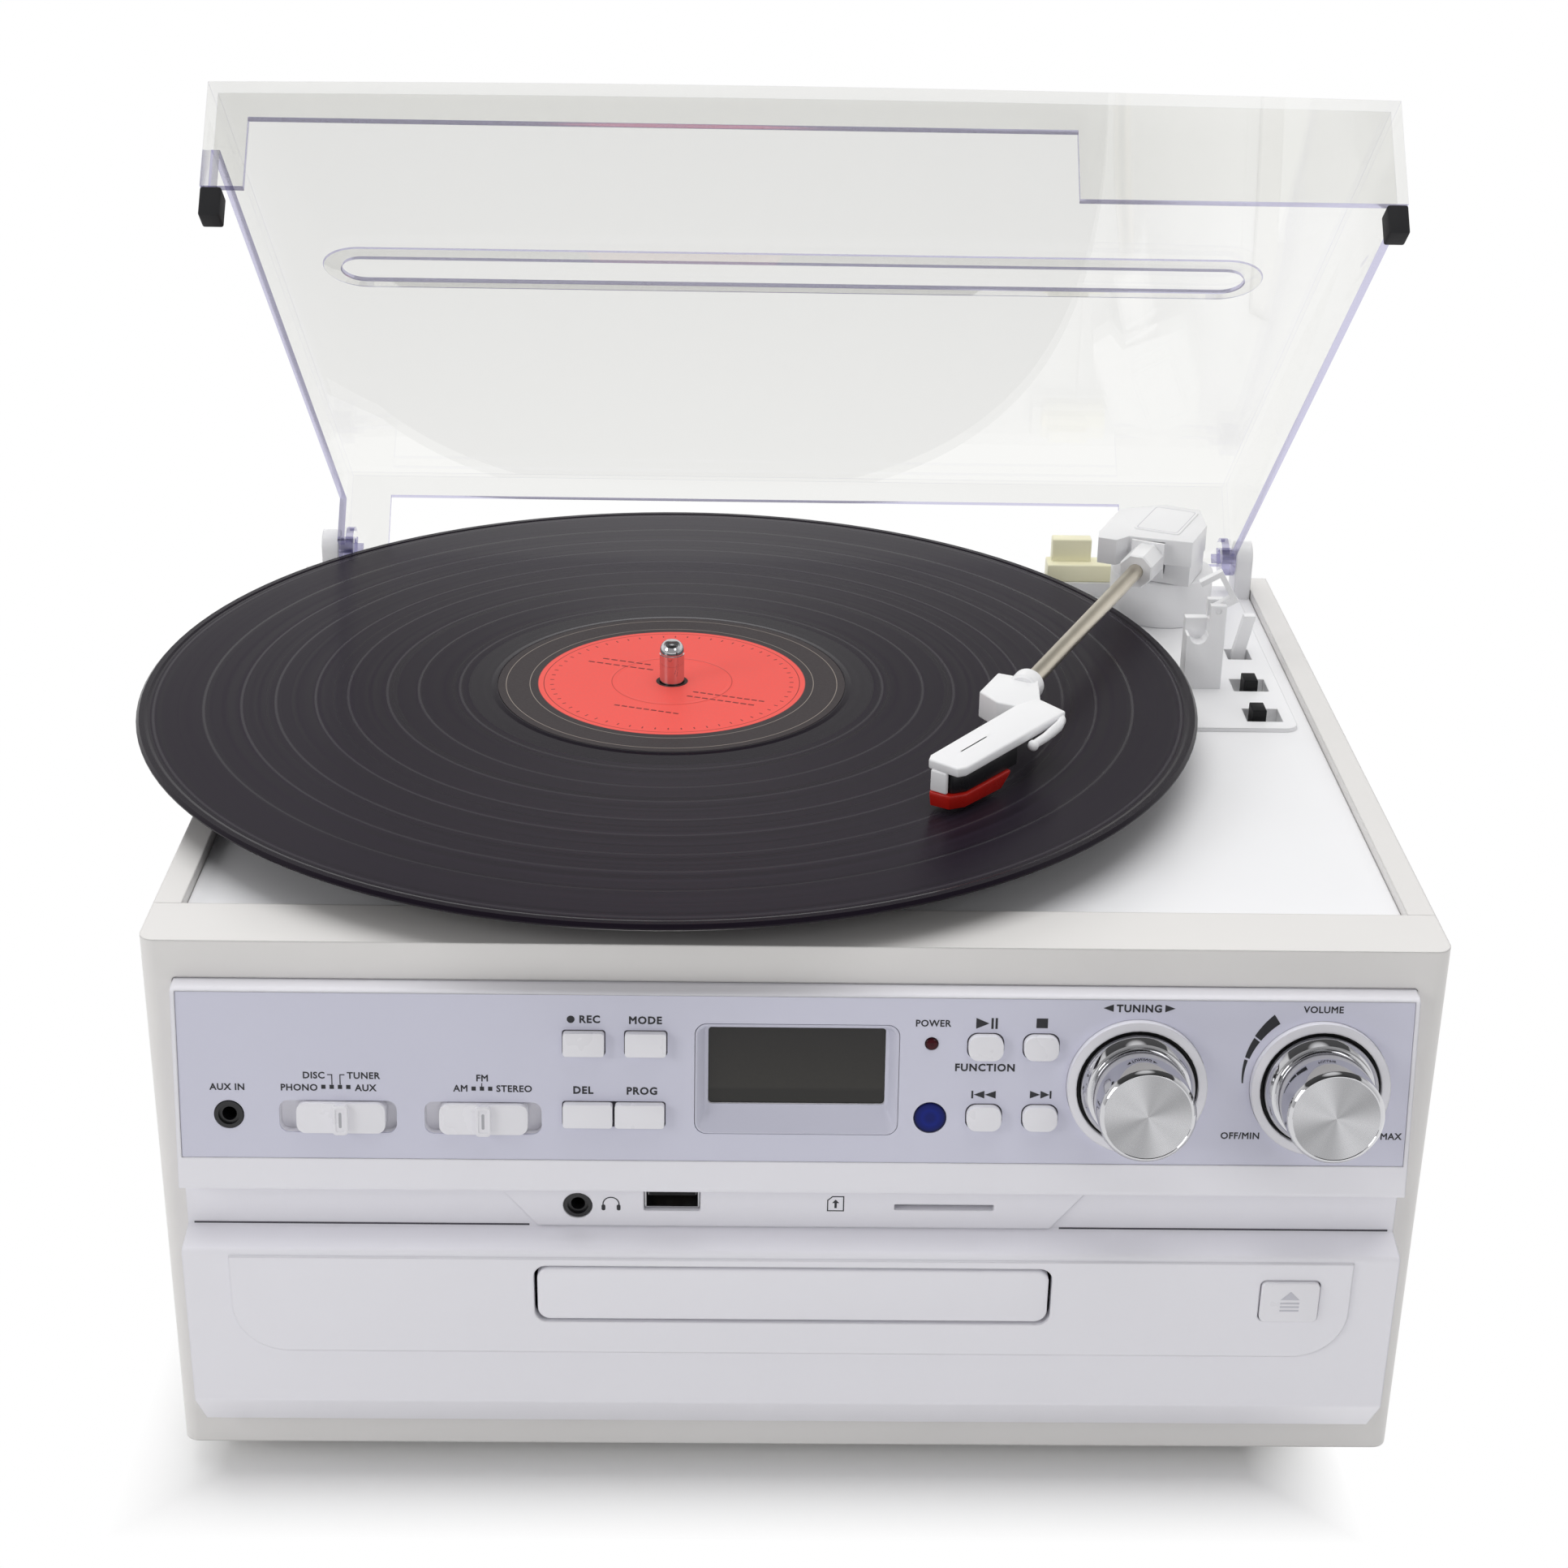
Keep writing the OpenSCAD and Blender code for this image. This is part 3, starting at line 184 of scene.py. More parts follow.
class Graph:
    """Short ways to add nodes to a tree; a node that is given as a value stands for its first output."""

    def __init__(self, tree):
        self.tree, self.nodes = tree, tree.nodes

    def feed(self, node, **sockets):
        """Inputs by name, or by i and a number: a node or a socket is linked, anything else is a value."""
        for key, value in sockets.items():
            by_number = key[0] == "i" and key[1:].isdigit()
            socket = node.inputs[int(key[1:]) if by_number else key.replace("_", " ")]
            if isinstance(value, bpy.types.Node):
                value = value.outputs[0]
            if isinstance(value, bpy.types.NodeSocket):
                self.tree.links.new(value, socket)
            else:
                socket.default_value = value
        return node

    def add(self, kind, settings=None, **sockets):
        """A new node with its settings and its inputs."""
        node = self.nodes.new(kind)
        for key, value in (settings or {}).items():
            setattr(node, key, value)
        return self.feed(node, **sockets)

    def operation(self, kind, name, values):
        return self.add(kind, {"operation": name}, **{f"i{k}": value for k, value in enumerate(values)})

    def math(self, name, *values):
        return self.operation("ShaderNodeMath", name, values).outputs[0]

    def vector(self, name, *values):
        node = self.operation("ShaderNodeVectorMath", name, values)
        return node.outputs["Value" if name in ("LENGTH", "DOT_PRODUCT") else "Vector"]

    def blend(self, share, first, second):
        """The first colour, and as much of the second as the share says."""
        tones = [c if isinstance(c, bpy.types.NodeSocket) else (*c[:3], 1) for c in (first, second)]
        return self.add("ShaderNodeMix", {"data_type": "RGBA"}, i0=share, i6=tones[0], i7=tones[1]).outputs[2]

    def spread(self, value, low, high, start=0.3, end=0.7):
        """The value's range from start to end, spread from low to high."""
        limits = dict(From_Min=start, From_Max=end, To_Min=low, To_Max=high)
        return self.add("ShaderNodeMapRange", Value=value, **limits).outputs[0]

    def between(self, value, low, high, soft=0.00015):
        """1 where low < value < high, fading over soft."""
        up = self.spread(value, 0, 1, low - soft, low + soft)
        down = self.spread(value, 1, 0, high - soft, high + soft)
        return self.math("MULTIPLY", up, down)

    def noise(self, place, scale, detail=3.0):
        return self.add("ShaderNodeTexNoise", Vector=place, Scale=scale, Detail=detail, Roughness=0.55).outputs[0]

    def rings(self, radius, scale, detail, rough=0.5):
        """Rings that differ with the radius."""
        noise = dict(Scale=scale, Detail=detail, Roughness=rough)
        return self.add("ShaderNodeTexNoise", {"noise_dimensions": "1D"}, W=radius, **noise).outputs[0]

    def uneven(self, value, tone, low, high):
        """A tone that changes with the value between two shares of itself."""
        return self.blend(self.spread(value, 0, 1), shade(tone, low), shade(tone, high))

    def bump(self, height, strength, depth):
        return self.add("ShaderNodeBump", Strength=strength, Distance=depth, Height=height)

    def polar(self, place, centre, axis=(0, 0, 1)):
        """Arm from the centre, radius from the axis and direction round it, for turned and grooved faces."""
        arm = self.vector("SUBTRACT", place, tuple(centre))
        around = self.vector("CROSS_PRODUCT", tuple(axis), arm)
        radius = self.vector("LENGTH", around)
        ways = {"vector_type": "VECTOR", "convert_from": "OBJECT", "convert_to": "WORLD"}
        return arm, radius, self.add("ShaderNodeVectorTransform", ways, Vector=self.vector("NORMALIZE", around))


def shade(colour, share):
    return tuple(min(1, c * share) for c in colour)


def start_material(name):
    material = bpy.data.materials.new(name)
    material.use_nodes = True
    g = Graph(material.node_tree)
    return material, g, g.nodes["Principled BSDF"], g.nodes.new("ShaderNodeTexCoord").outputs["Object"]


def finish(name, tone, rough, metal=0.0, vary=0.03, blotch=14, grain=2600, bump=0.12, depth=0.00002,
           rounding=0.0, gloss=0.5, swing=0.06):
    """A moulded, painted or metal surface: slow changes of tone, uneven gloss and a fine grain, with softened edges."""
    material, g, body, place = start_material(name)
    relief = g.bump(g.noise(place, grain, 2), bump, depth)
    if rounding:
        g.feed(relief, Normal=g.add("ShaderNodeBevel", {"samples": 4}, Radius=rounding / 1000))
    wear = g.noise(place, blotch * 6, 3)
    g.feed(body, Base_Color=g.uneven(g.noise(place, blotch, 4), tone, 1 - vary, 1 + vary),
           Roughness=g.spread(wear, max(0.02, rough - swing), min(1, rough + swing)),
           Metallic=metal, Specular_IOR_Level=gloss, Normal=relief)
    return material


def turned_metal(name, tone, rough, centre, ring_scale, axis=(0, 0, 1), streak=0.10, pull=0.85, wedge=0.0):
    """Metal with fine rings from the lathe, which pull its shine into wedges; with wedge, darker wedges round the axis
    are painted into its colour as painted reflection.
    """
    material, g, body, place = start_material(name)
    arm, radius, tangent = g.polar(place, centre, axis)
    rings = g.rings(radius, ring_scale, 3)
    base = g.uneven(rings, tone, 1 - streak, 1 + streak)
    # painted reflection: darker wedges by the angle round the axis, painted into the base colour
    if wedge:
        level = Vector(axis).cross(Vector((1, 0, 0))).normalized()
        across = g.vector("DOT_PRODUCT", arm, tuple(level.cross(Vector(axis))))
        angle = g.math("ARCTAN2", g.vector("DOT_PRODUCT", arm, tuple(level)), across)
        painted_sheen = g.math("COSINE", g.math("MULTIPLY_ADD", angle, 2.0, 1.1))
        fine = g.math("COSINE", g.math("MULTIPLY_ADD", angle, 6.0, 0.4))
        painted_sheen = g.math("MULTIPLY_ADD", fine, 0.35, painted_sheen)
        base = g.blend(g.spread(painted_sheen, 0, 1, -1.2, 1.2), shade(tone, 1 - wedge), base)
    g.feed(body, Base_Color=base, Roughness=g.spread(rings, rough - 0.05, rough + 0.08), Tangent=tangent,
           Metallic=1.0, Anisotropic=pull, Normal=g.bump(rings, 0.25, 0.00002))
    return material


def vinyl_material(sizes):
    """Grooved vinyl: rings of uneven density, smooth gaps between tracks painted lighter as painted sheen, and wedges
    of sheen.
    """
    material, g, body, place = start_material("grooved_vinyl")
    _, radius, tangent = g.polar(place, PIN)
    bands = g.rings(radius, 420, 4, 0.6)
    gap, gap_width = None, 0.0007
    for r in (0.0605, 0.0722, 0.0811, 0.0921, 0.1012, 0.1123, 0.1218, 0.1322, 0.1459):
        ring = g.between(radius, r, r + gap_width)
        gap = ring if gap is None else g.math("MAXIMUM", gap, ring)
    run_out, rim = g.between(radius, 0.0495, 0.0585), g.between(radius, 0.1472, 0.2)
    plain = g.math("MAXIMUM", run_out, rim)
    base = g.uneven(bands, sizes.vinyl, 0.72, 1.25)
    # painted sheen: the gaps between tracks are painted a lighter grey
    base = g.blend(g.math("MULTIPLY", gap, 0.45), base, ink(66, 64, 68))
    base = g.blend(plain, base, shade(sizes.vinyl, 0.7))
    smooth = g.math("MULTIPLY", g.math("MAXIMUM", gap, plain), 0.12)
    rough = g.math("SUBTRACT", g.spread(bands, 0.27, 0.38), smooth)
    grooves = g.bump(g.rings(radius, 3200, 1), 0.2, 0.00003)
    g.feed(body, Base_Color=base, Roughness=rough, Anisotropic=0.7, Specular_IOR_Level=0.12,
           Tangent=tangent, Normal=grooves)
    return material


def label_material(sizes):
    """Coated paper: a coloured middle, a dark ring with thin lines in it and a pressed ring round the hole."""
    material, g, body, place = start_material("label_print")
    radius = g.polar(place, PIN)[1]
    fibre = g.noise(place, 1800, 3)
    paper, dark = g.uneven(fibre, sizes.label, 0.96, 1.04), g.uneven(fibre, sizes.label_ring, 0.9, 1.1)
    base = g.blend(g.between(radius, sizes.ring_from / 1000, 1), paper, dark)
    lines = (
        (0.0408, 0.0410, (150, 140, 132)),
        (0.0476, 0.0478, (150, 140, 132)),
        (0.0368, 0.0370, (120, 40, 36)),
        (0.0172, 0.0175, (206, 70, 64)),
        (0.0, 0.0046, (60, 40, 38)),
    )
    for low, high, tone in lines:
        base = g.blend(g.between(radius, low, high, 0.00005), base, ink(*tone))
    pressed = g.between(radius, 0.0165, 0.0178, 0.0004)
    height = g.math("ADD", g.math("MULTIPLY", fibre, 0.05), pressed)
    g.feed(body, Base_Color=base, Roughness=g.spread(fibre, 0.42, 0.55), Specular_IOR_Level=0.2,
           Normal=g.bump(height, 0.4, 0.0002))
    return material


def clear_material(name, tint, tone, haze, rough=0.02):
    """Clear acrylic: light goes straight through, with a mirror that grows at a slant and a trace of haze."""
    material, g, body, place = start_material(name)
    slow = g.noise(place, 9, 3)
    g.feed(body, Base_Color=g.uneven(slow, tone, 0.97, 1), Metallic=1.0,
           Roughness=g.spread(g.noise(place, 60), rough * 0.8, rough * 1.2))
    facing, mirror = g.add("ShaderNodeLayerWeight").outputs["Facing"], 0.038
    least = g.spread(slow, mirror + haze * 0.9, mirror + haze * 1.1)
    share = g.math("MULTIPLY_ADD", g.math("POWER", facing, 5.0), 0.94, least)
    through = g.add("ShaderNodeBsdfTransparent", Color=(*tint, 1))
    full = g.add("ShaderNodeMixShader", Fac=share, i1=through, i2=body)
    g.feed(g.nodes["Material Output"], Surface=full)
    return material


def display_material():
    """Dark glass over a grey crystal panel, with faint dots in it and painted shade: a darker band along its foot."""
    material, g, body, place = start_material("display_glass")
    low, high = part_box("display_window")
    height = g.add("ShaderNodeSeparateXYZ", Vector=place).outputs[2]
    base = g.blend(g.spread(height, 0, 1, low.z, high.z), ink(54, 52, 48), ink(38, 36, 35))
    # painted shade: a darker band along the foot of the display
    foot = g.spread(height, 0.6, 0, low.z + 0.0034, low.z + 0.0044)
    base = g.blend(foot, base, ink(27, 26, 26))
    dots = g.add("ShaderNodeTexVoronoi", Vector=place, Scale=1400.0)
    base = g.blend(g.math("MULTIPLY", dots, 0.10), base, ink(28, 28, 26))
    rough = g.spread(g.noise(place, 60), 0.10, 0.18)
    g.feed(body, Base_Color=base, Roughness=rough, Specular_IOR_Level=0.35)
    return material


def lens_material(name, tone, deep, centre, reach):
    """Coloured clear plastic with a darker rim and a lighter ring of the part behind it."""
    material, g, body, place = start_material(name)
    radius = g.polar(place, centre.translation, PANEL.to_3x3() @ Vector((0, 1, 0)) * 1000)[1]
    inner = g.between(radius, reach * 0.35, reach * 0.62, reach * 0.12)
    rim = g.between(radius, reach * 0.88, 1, reach * 0.08)
    base = g.blend(g.math("MULTIPLY", inner, 0.5), tone, shade(tone, 1.9))
    g.feed(body, Base_Color=g.blend(rim, base, deep), Specular_IOR_Level=0.2,
           Roughness=g.spread(g.noise(place, 300), 0.08, 0.16))
    return material


def board_material():
    """Lacquered circuit board with copper tracks under the green."""
    material, g, body, place = start_material("board_lacquer")
    green, light, track = ((*ink(*c), 1) for c in ((20, 92, 48), (26, 104, 56), (70, 140, 74)))
    cells = g.add("ShaderNodeTexBrick", Vector=place, Scale=160, Mortar_Size=0.03,
                  Color1=green, Color2=light, Mortar=track)
    g.feed(body, Base_Color=cells, Roughness=g.spread(g.noise(place, 80), 0.3, 0.45))
    return material


class Finishes(dict):
    """The finishes by name, each made when it is first asked for."""

    def __missing__(self, name):
        case, disc, arm, control, lid = (SET(part) for part in ("case", "turntable", "arm", "control", "lid"))
        metal = dict(metal=1.0, vary=0.05)
        even = dict(
            paint=(case.paint, 0.42, dict(vary=0.015, grain=900, bump=0.25, depth=0.00004, rounding=0.8)),
            back_paint=(shade(case.paint, 0.92), 0.55, dict(grain=700, bump=0.4, depth=0.00006, rounding=0.4)),
            deck=(case.deck, 0.36, dict(vary=0.012, grain=1500, bump=0.3, depth=0.00004, rounding=0.6)),
            arm_white=(case.deck, 0.34, dict(vary=0.015)),
            fascia=(case.fascia, 0.36,
                    dict(vary=0.01, grain=1300, bump=0.06, swing=0.03, rounding=case.rounding + 0.2)),
            plate=(case.plate, 0.40, dict(vary=0.02, blotch=5, grain=3200, bump=0.3, depth=0.00003)),
            bezel=(shade(case.plate, 0.91), 0.42, dict(vary=0.02, grain=2400)),
            button=(control.button, 0.30, dict(vary=0.012, grain=1600)),
            print=(control.print_colour, 0.5, dict(vary=0.08, blotch=200)),
            grey_print=(ink(176, 176, 182), 0.5, dict(vary=0.05, blotch=200)),
            slide_white=((0.98, 0.98, 0.98), 0.5, dict(vary=0.01)),
            shadow_gap=(ink(84, 82, 90), 0.6, dict(vary=0.05, gloss=0.2)),
            pale_print=(ink(200, 199, 208), 0.5, dict(vary=0.03, blotch=200)),
            red_print=(ink(128, 34, 32), 0.5, dict(vary=0.08, blotch=200)),
            rubber=(ink(38, 38, 40), 0.75, dict(vary=0.12, grain=900, bump=0.5, depth=0.00006, gloss=0.3)),
            black=(ink(26, 26, 29), 0.30, dict(vary=0.12)),
            matt_black=(ink(20, 20, 22), 0.6, dict(vary=0.15, gloss=0.3)),
            red=(arm.stylus, 0.28, dict(vary=0.08)),
            cream=(arm.cream, 0.42, dict(vary=0.03, rounding=0.4)),
            champagne=(arm.tube, 0.34, dict(metal, blotch=30, grain=900, bump=0.02, swing=0.03)),
            chrome=(shade(control.knob, 0.8), 0.06, dict(metal, swing=0.02, blotch=30, grain=600, bump=0.01)),
            steel=(ink(176, 177, 180), 0.34, dict(metal, blotch=60)),
            brass=(ink(206, 172, 104), 0.28, dict(metal, blotch=80)),
            dark_plastic=(ink(58, 58, 62), 0.5, dict(vary=0.1, rounding=0.4)),
            cone=(ink(34, 34, 36), 0.8, dict(vary=0.2, blotch=90, grain=1200, bump=0.5, depth=0.0001)),
        )
        special = dict(
            platter=lambda: turned_metal(name, ink(196, 197, 200), 0.32, PIN, 720),
            vinyl=lambda: vinyl_material(disc),
            label=lambda: label_material(disc),
            lid=lambda: clear_material(name, lid.tint, ink(248, 248, 248), 0.004),
            lid_edge=lambda: clear_material(name, shade(lid.edge, 1.15), lid.edge, 0.4, 0.2),
            display=display_material,
            lamp=lambda: lens_material(name, ink(58, 10, 20), ink(34, 6, 12), on_panel(*LAMP_AT), 0.0016),
            window=lambda: lens_material(name, ink(4, 22, 104), ink(3, 8, 56), on_panel(*WINDOW_AT), 0.0040),
            board=board_material,
        )
        if name in even:
            tone, rough, more = even[name]
            self[name] = finish(name, tone, rough, **more)
        else:
            self[name] = special[name]()
        return self[name]


FINISH = Finishes()


def SET(part):
    return getattr(bpy.context.scene, "music_" + part)


def dress(material, *nodes):
    """A CAD node keeps its shape and takes a better finish."""
    for node in nodes:
        for slot in NODES[node].material_slots:
            slot.material = FINISH[material]


# ---------------------------------------------------------------- making pieces


def placed(name, data):
    item = bpy.data.objects.new(name, data)
    bpy.context.scene.collection.objects.link(item)
    return item


def put(name, mesh, material, body, replaces=None, smooth=32):
    """A finished mesh becomes a piece of the object, riding on its CAD body."""
    mesh.name = name
    if material:
        kinds = [face.material_index for face in mesh.polygons]
        mesh.materials.clear()
        for m in [material] if isinstance(material, str) else material:
            mesh.materials.append(FINISH[m])
        if not isinstance(material, str):
            mesh.polygons.foreach_set("material_index", kinds)
    if smooth:
        mesh.shade_smooth()
        mesh.set_sharp_from_angle(angle=radians(smooth))
    piece = placed(name, mesh)
    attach(piece, body)
    if replaces:
        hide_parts(replaces)


def to_mesh(bm, matrix=None, outward=True):
    if matrix is not None:
        bm.transform(matrix)
    if outward:
        bmesh.ops.recalc_face_normals(bm, faces=bm.faces)
    mesh = bpy.data.meshes.new("piece")
    bm.to_mesh(mesh)
    bm.free()
    return mesh


def joined(*meshes):
    bm = bmesh.new()
    for mesh in meshes:
        bm.from_mesh(mesh)
    return bm


def evaluated(data, prepare=None):
    """The plain mesh that data gives, once prepare has put modifiers on its holder."""
    holder = placed("holder", data)
    if prepare:
        prepare(holder)
    bpy.context.view_layer.update()
    result = bpy.data.meshes.new_from_object(holder.evaluated_get(bpy.context.evaluated_depsgraph_get()))
    holder.modifiers.clear()
    bpy.data.objects.remove(holder)
    return result


def bevelled(mesh, width, segments=3, angle=35):
    """The mesh with edges rounded where its faces meet at more than the angle; width in millimetres."""

    def prepare(holder):
        bevel = holder.modifiers.new("Bevel", "BEVEL")
        bevel.width, bevel.segments = width / 1000, segments
        bevel.limit_method, bevel.angle_limit = "ANGLE", radians(angle)

    return evaluated(mesh, prepare)


def merged(node):
    """A clean copy of a CAD node's mesh, its triangles joined and flat faces made whole."""
    bm = joined(NODES[node].data)
    bmesh.ops.remove_doubles(bm, verts=bm.verts, dist=2e-6)
    bmesh.ops.dissolve_limit(bm, angle_limit=radians(1.5), verts=bm.verts, edges=bm.edges)
    return to_mesh(bm, outward=False)


def refined(node, material, width, segments=3, angle=38):
    """A piece with the CAD node's shape and rounded edges stands for the node."""
    mesh = bevelled(merged(node), width, segments, angle)
    put(node + "_body", mesh, material, NODES[node]["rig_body"], node, 40)


def angles(count):
    return [tau * k / count for k in range(count)]


def ring_of(profile, steps):
    return [[(r * cos(a), r * sin(a), z) for a in angles(steps)] for r, z in profile]


def skinned(rings, closed_ends=True, slots=None, ends=(0, 0)):
    """A surface through rings of points that have the same count, capped at both ends."""
    bm = bmesh.new()
    rows = [[bm.verts.new(p) for p in ring] for ring in rings]
    count = len(rows[0])
    for k in range(len(rows) - 1):
        for j in range(count):
            n = (j + 1) % count
            face = bm.faces.new((rows[k][j], rows[k][n], rows[k + 1][n], rows[k + 1][j]))
            face.material_index = slots[k] if slots else 0
    if closed_ends:
        for row, index in ((rows[0], ends[0]), (rows[-1], ends[1])):
            bm.faces.new(row).material_index = index
    return bm


def closed(rings, slots=None):
    """A surface through rings that comes back to the first of them."""
    bm = skinned(rings + rings[:1], False, slots)
    bmesh.ops.remove_doubles(bm, verts=bm.verts, dist=1e-5)
    return bm


def lathe(profile, steps, slots=None, ends=(0, 0)):
    return skinned(ring_of(profile, steps), slots=slots, ends=ends)


def rounded(width, height, radius, steps):
    """Points of a rounded rectangle about the origin."""
    points = []
    for k, (sx, sy) in enumerate(((1, 1), (-1, 1), (-1, -1), (1, -1))):
        x, y = sx * (width / 2 - radius), sy * (height / 2 - radius)
        for j in range(steps + 1):
            a = pi / 2 * (k + j / steps)
            points.append((x + radius * cos(a), y + radius * sin(a)))
    return points


def slab(bm, outline, low, high, matrix=None):
    """A flat outline made a thin solid in bm, between two heights."""
    bottom = [bm.verts.new((x, y, low)) for x, y in outline]
    top = [bm.verts.new((x, y, high)) for x, y in outline]
    bm.faces.new(bottom[::-1])
    bm.faces.new(top)
    for k in range(len(outline)):
        j = (k + 1) % len(outline)
        bm.faces.new((bottom[k], bottom[j], top[j], top[k]))
    if matrix is not None:
        bmesh.ops.transform(bm, matrix=matrix, verts=bottom + top)


def block(bm, x0, y0, x1, y1, low, high, matrix=None):
    slab(bm, [(x0, y0), (x1, y0), (x1, y1), (x0, y1)], low, high, matrix)


def lettering(bm, words, x, s, height, align, spacing, weight):
    """Plain words as a thin raised print: x across, s down to the foot of the letters."""
    capital = 0.70
    text = bpy.data.curves.new("words", "FONT")
    text.body, text.align_x, text.size = words, align, height / capital
    text.extrude, text.space_character, text.bevel_depth, text.resolution_u = 0.02, spacing, weight, 3
    mesh = evaluated(text)
    mesh.transform(moved(x, -s))
    bm.from_mesh(mesh)
    bpy.data.curves.remove(text)


# ---------------------------------------------------------------- repeated detail


def node_tree(name, *inputs):
    """A Geometry Nodes tree with named inputs; returns its graph, the inputs' sockets and the output node."""
    tree = bpy.data.node_groups.new(name, "GeometryNodeTree")
    tree.interface.new_socket(name="Geometry", in_out="INPUT", socket_type="NodeSocketGeometry")
    for label, kind, value in inputs:
        socket = tree.interface.new_socket(name=label, in_out="INPUT", socket_type="NodeSocket" + kind)
        if value is not None:
            socket.default_value = value
    tree.interface.new_socket(name="Geometry", in_out="OUTPUT", socket_type="NodeSocketGeometry")
    g = Graph(tree)
    return g, g.add("NodeGroupInput").outputs, g.add("NodeGroupOutput")


def finished_tree(g, geometry, material, out):
    real = g.add("GeometryNodeRealizeInstances", Geometry=geometry)
    done = g.add("GeometryNodeSetMaterial", Geometry=real, Material=material)
    g.feed(out, i0=done)
    return g.tree


def marks_tree():
    """Small blocks in a straight row or on a ring, each turned to face outwards."""
    g, given, out = node_tree(
        "repeated_marks", ("Count", "Int", 4), ("Pitch", "Float", 2.0), ("Radius", "Float", 0.0),
        ("Mark size", "Vector", (1, 1, 0.05)), ("Finish", "Material", None)
    )
    count, radius = given["Count"], given["Radius"]
    row = g.add("GeometryNodeMeshLine", Count=count, Offset=g.add("ShaderNodeCombineXYZ", X=given["Pitch"]))
    ring = g.add("GeometryNodeMeshCircle", Vertices=count, Radius=radius)
    on_ring = g.add("FunctionNodeCompare", {"operation": "GREATER_THAN"}, A=radius, B=0.0).outputs[0]
    ways = {"Switch": on_ring, "False": row, "True": ring}
    points = g.add("GeometryNodeSwitch", {"input_type": "GEOMETRY"}, **ways)
    index = g.add("GeometryNodeInputIndex")
    share = g.math("DIVIDE", index, g.math("MAXIMUM", count, 1))
    turn = g.math("MULTIPLY", share, g.math("MULTIPLY", on_ring, tau))
    copies = g.add(
        "GeometryNodeInstanceOnPoints", Points=points,
        Instance=g.add("GeometryNodeMeshCube", Size=given["Mark size"]),
        Rotation=g.add("ShaderNodeCombineXYZ", Z=turn)
    )
    return finished_tree(g, copies, given["Finish"], out)


def copies_tree():
    """Copies of one small shape on the points of the given mesh."""
    g, given, out = node_tree(
        "copies_on_points", ("Shape", "Object", None), ("Size", "Float", 1.0), ("Turn", "Float", 0.4),
        ("Finish", "Material", None)
    )
    shape = g.add("GeometryNodeObjectInfo", Object=given["Shape"])
    turn = g.math("MULTIPLY", g.add("GeometryNodeInputIndex"), given["Turn"])
    copies = g.add(
        "GeometryNodeInstanceOnPoints", Points=given["Geometry"], Instance=shape.outputs["Geometry"],
        Rotation=g.add("ShaderNodeCombineXYZ", Z=turn), Scale=given["Size"]
    )
    return finished_tree(g, copies, given["Finish"], out)


def ribs_tree():
    """Raised rings, one inside the other."""
    g, given, out = node_tree(
        "nested_ribs", ("Rings", "Int", 8), ("First radius", "Float", 60.0), ("Step", "Float", 4.0),
        ("Rib", "Float", 0.4), ("Finish", "Material", None)
    )
    index = g.add("GeometryNodeInputIndex")
    reach = g.math("ADD", given["First radius"], g.math("MULTIPLY", index, given["Step"]))
    copies = g.add(
        "GeometryNodeInstanceOnPoints",
        Points=g.add("GeometryNodeMeshLine", Count=given["Rings"], Offset=(0, 0, 0)),
        Instance=g.add("GeometryNodeCurvePrimitiveCircle", Resolution=96, Radius=1.0),
        Scale=g.add("ShaderNodeCombineXYZ", X=reach, Y=reach, Z=reach)
    )
    real = g.add("GeometryNodeRealizeInstances", Geometry=copies)
    section = g.add("GeometryNodeCurvePrimitiveCircle", Resolution=6, Radius=given["Rib"])
    tube = g.add("GeometryNodeCurveToMesh", Curve=real, Profile_Curve=section)
    return finished_tree(g, tube, given["Finish"], out)


def grown(tree, material, matrix, host=(), **values):
    """The result of a tree as a plain mesh, with its place applied; values go to the tree's named inputs."""
    mesh = bpy.data.meshes.new("host")
    mesh.from_pydata(host, [], [])

    def prepare(holder):
        modifier = holder.modifiers.new("pattern", "NODES")
        modifier.node_group = tree
        named = {item.name: item.identifier for item in tree.interface.items_tree if item.in_out == "INPUT"}
        for label, value in (*values.items(), ("Finish", FINISH[material])):
            modifier[named[label.replace("_", " ")]] = value

    result = evaluated(mesh, prepare)
    result.transform(matrix)
    return result


# ---------------------------------------------------------------- the pieces


class Piece(bpy.types.Operator):
    bl_options = {"REGISTER", "UNDO"}

    def execute(self, context):
        self.make(context)
        return {"FINISHED"}

    def make(self, context):
        raise RuntimeError(f"{self.bl_idname} makes nothing")


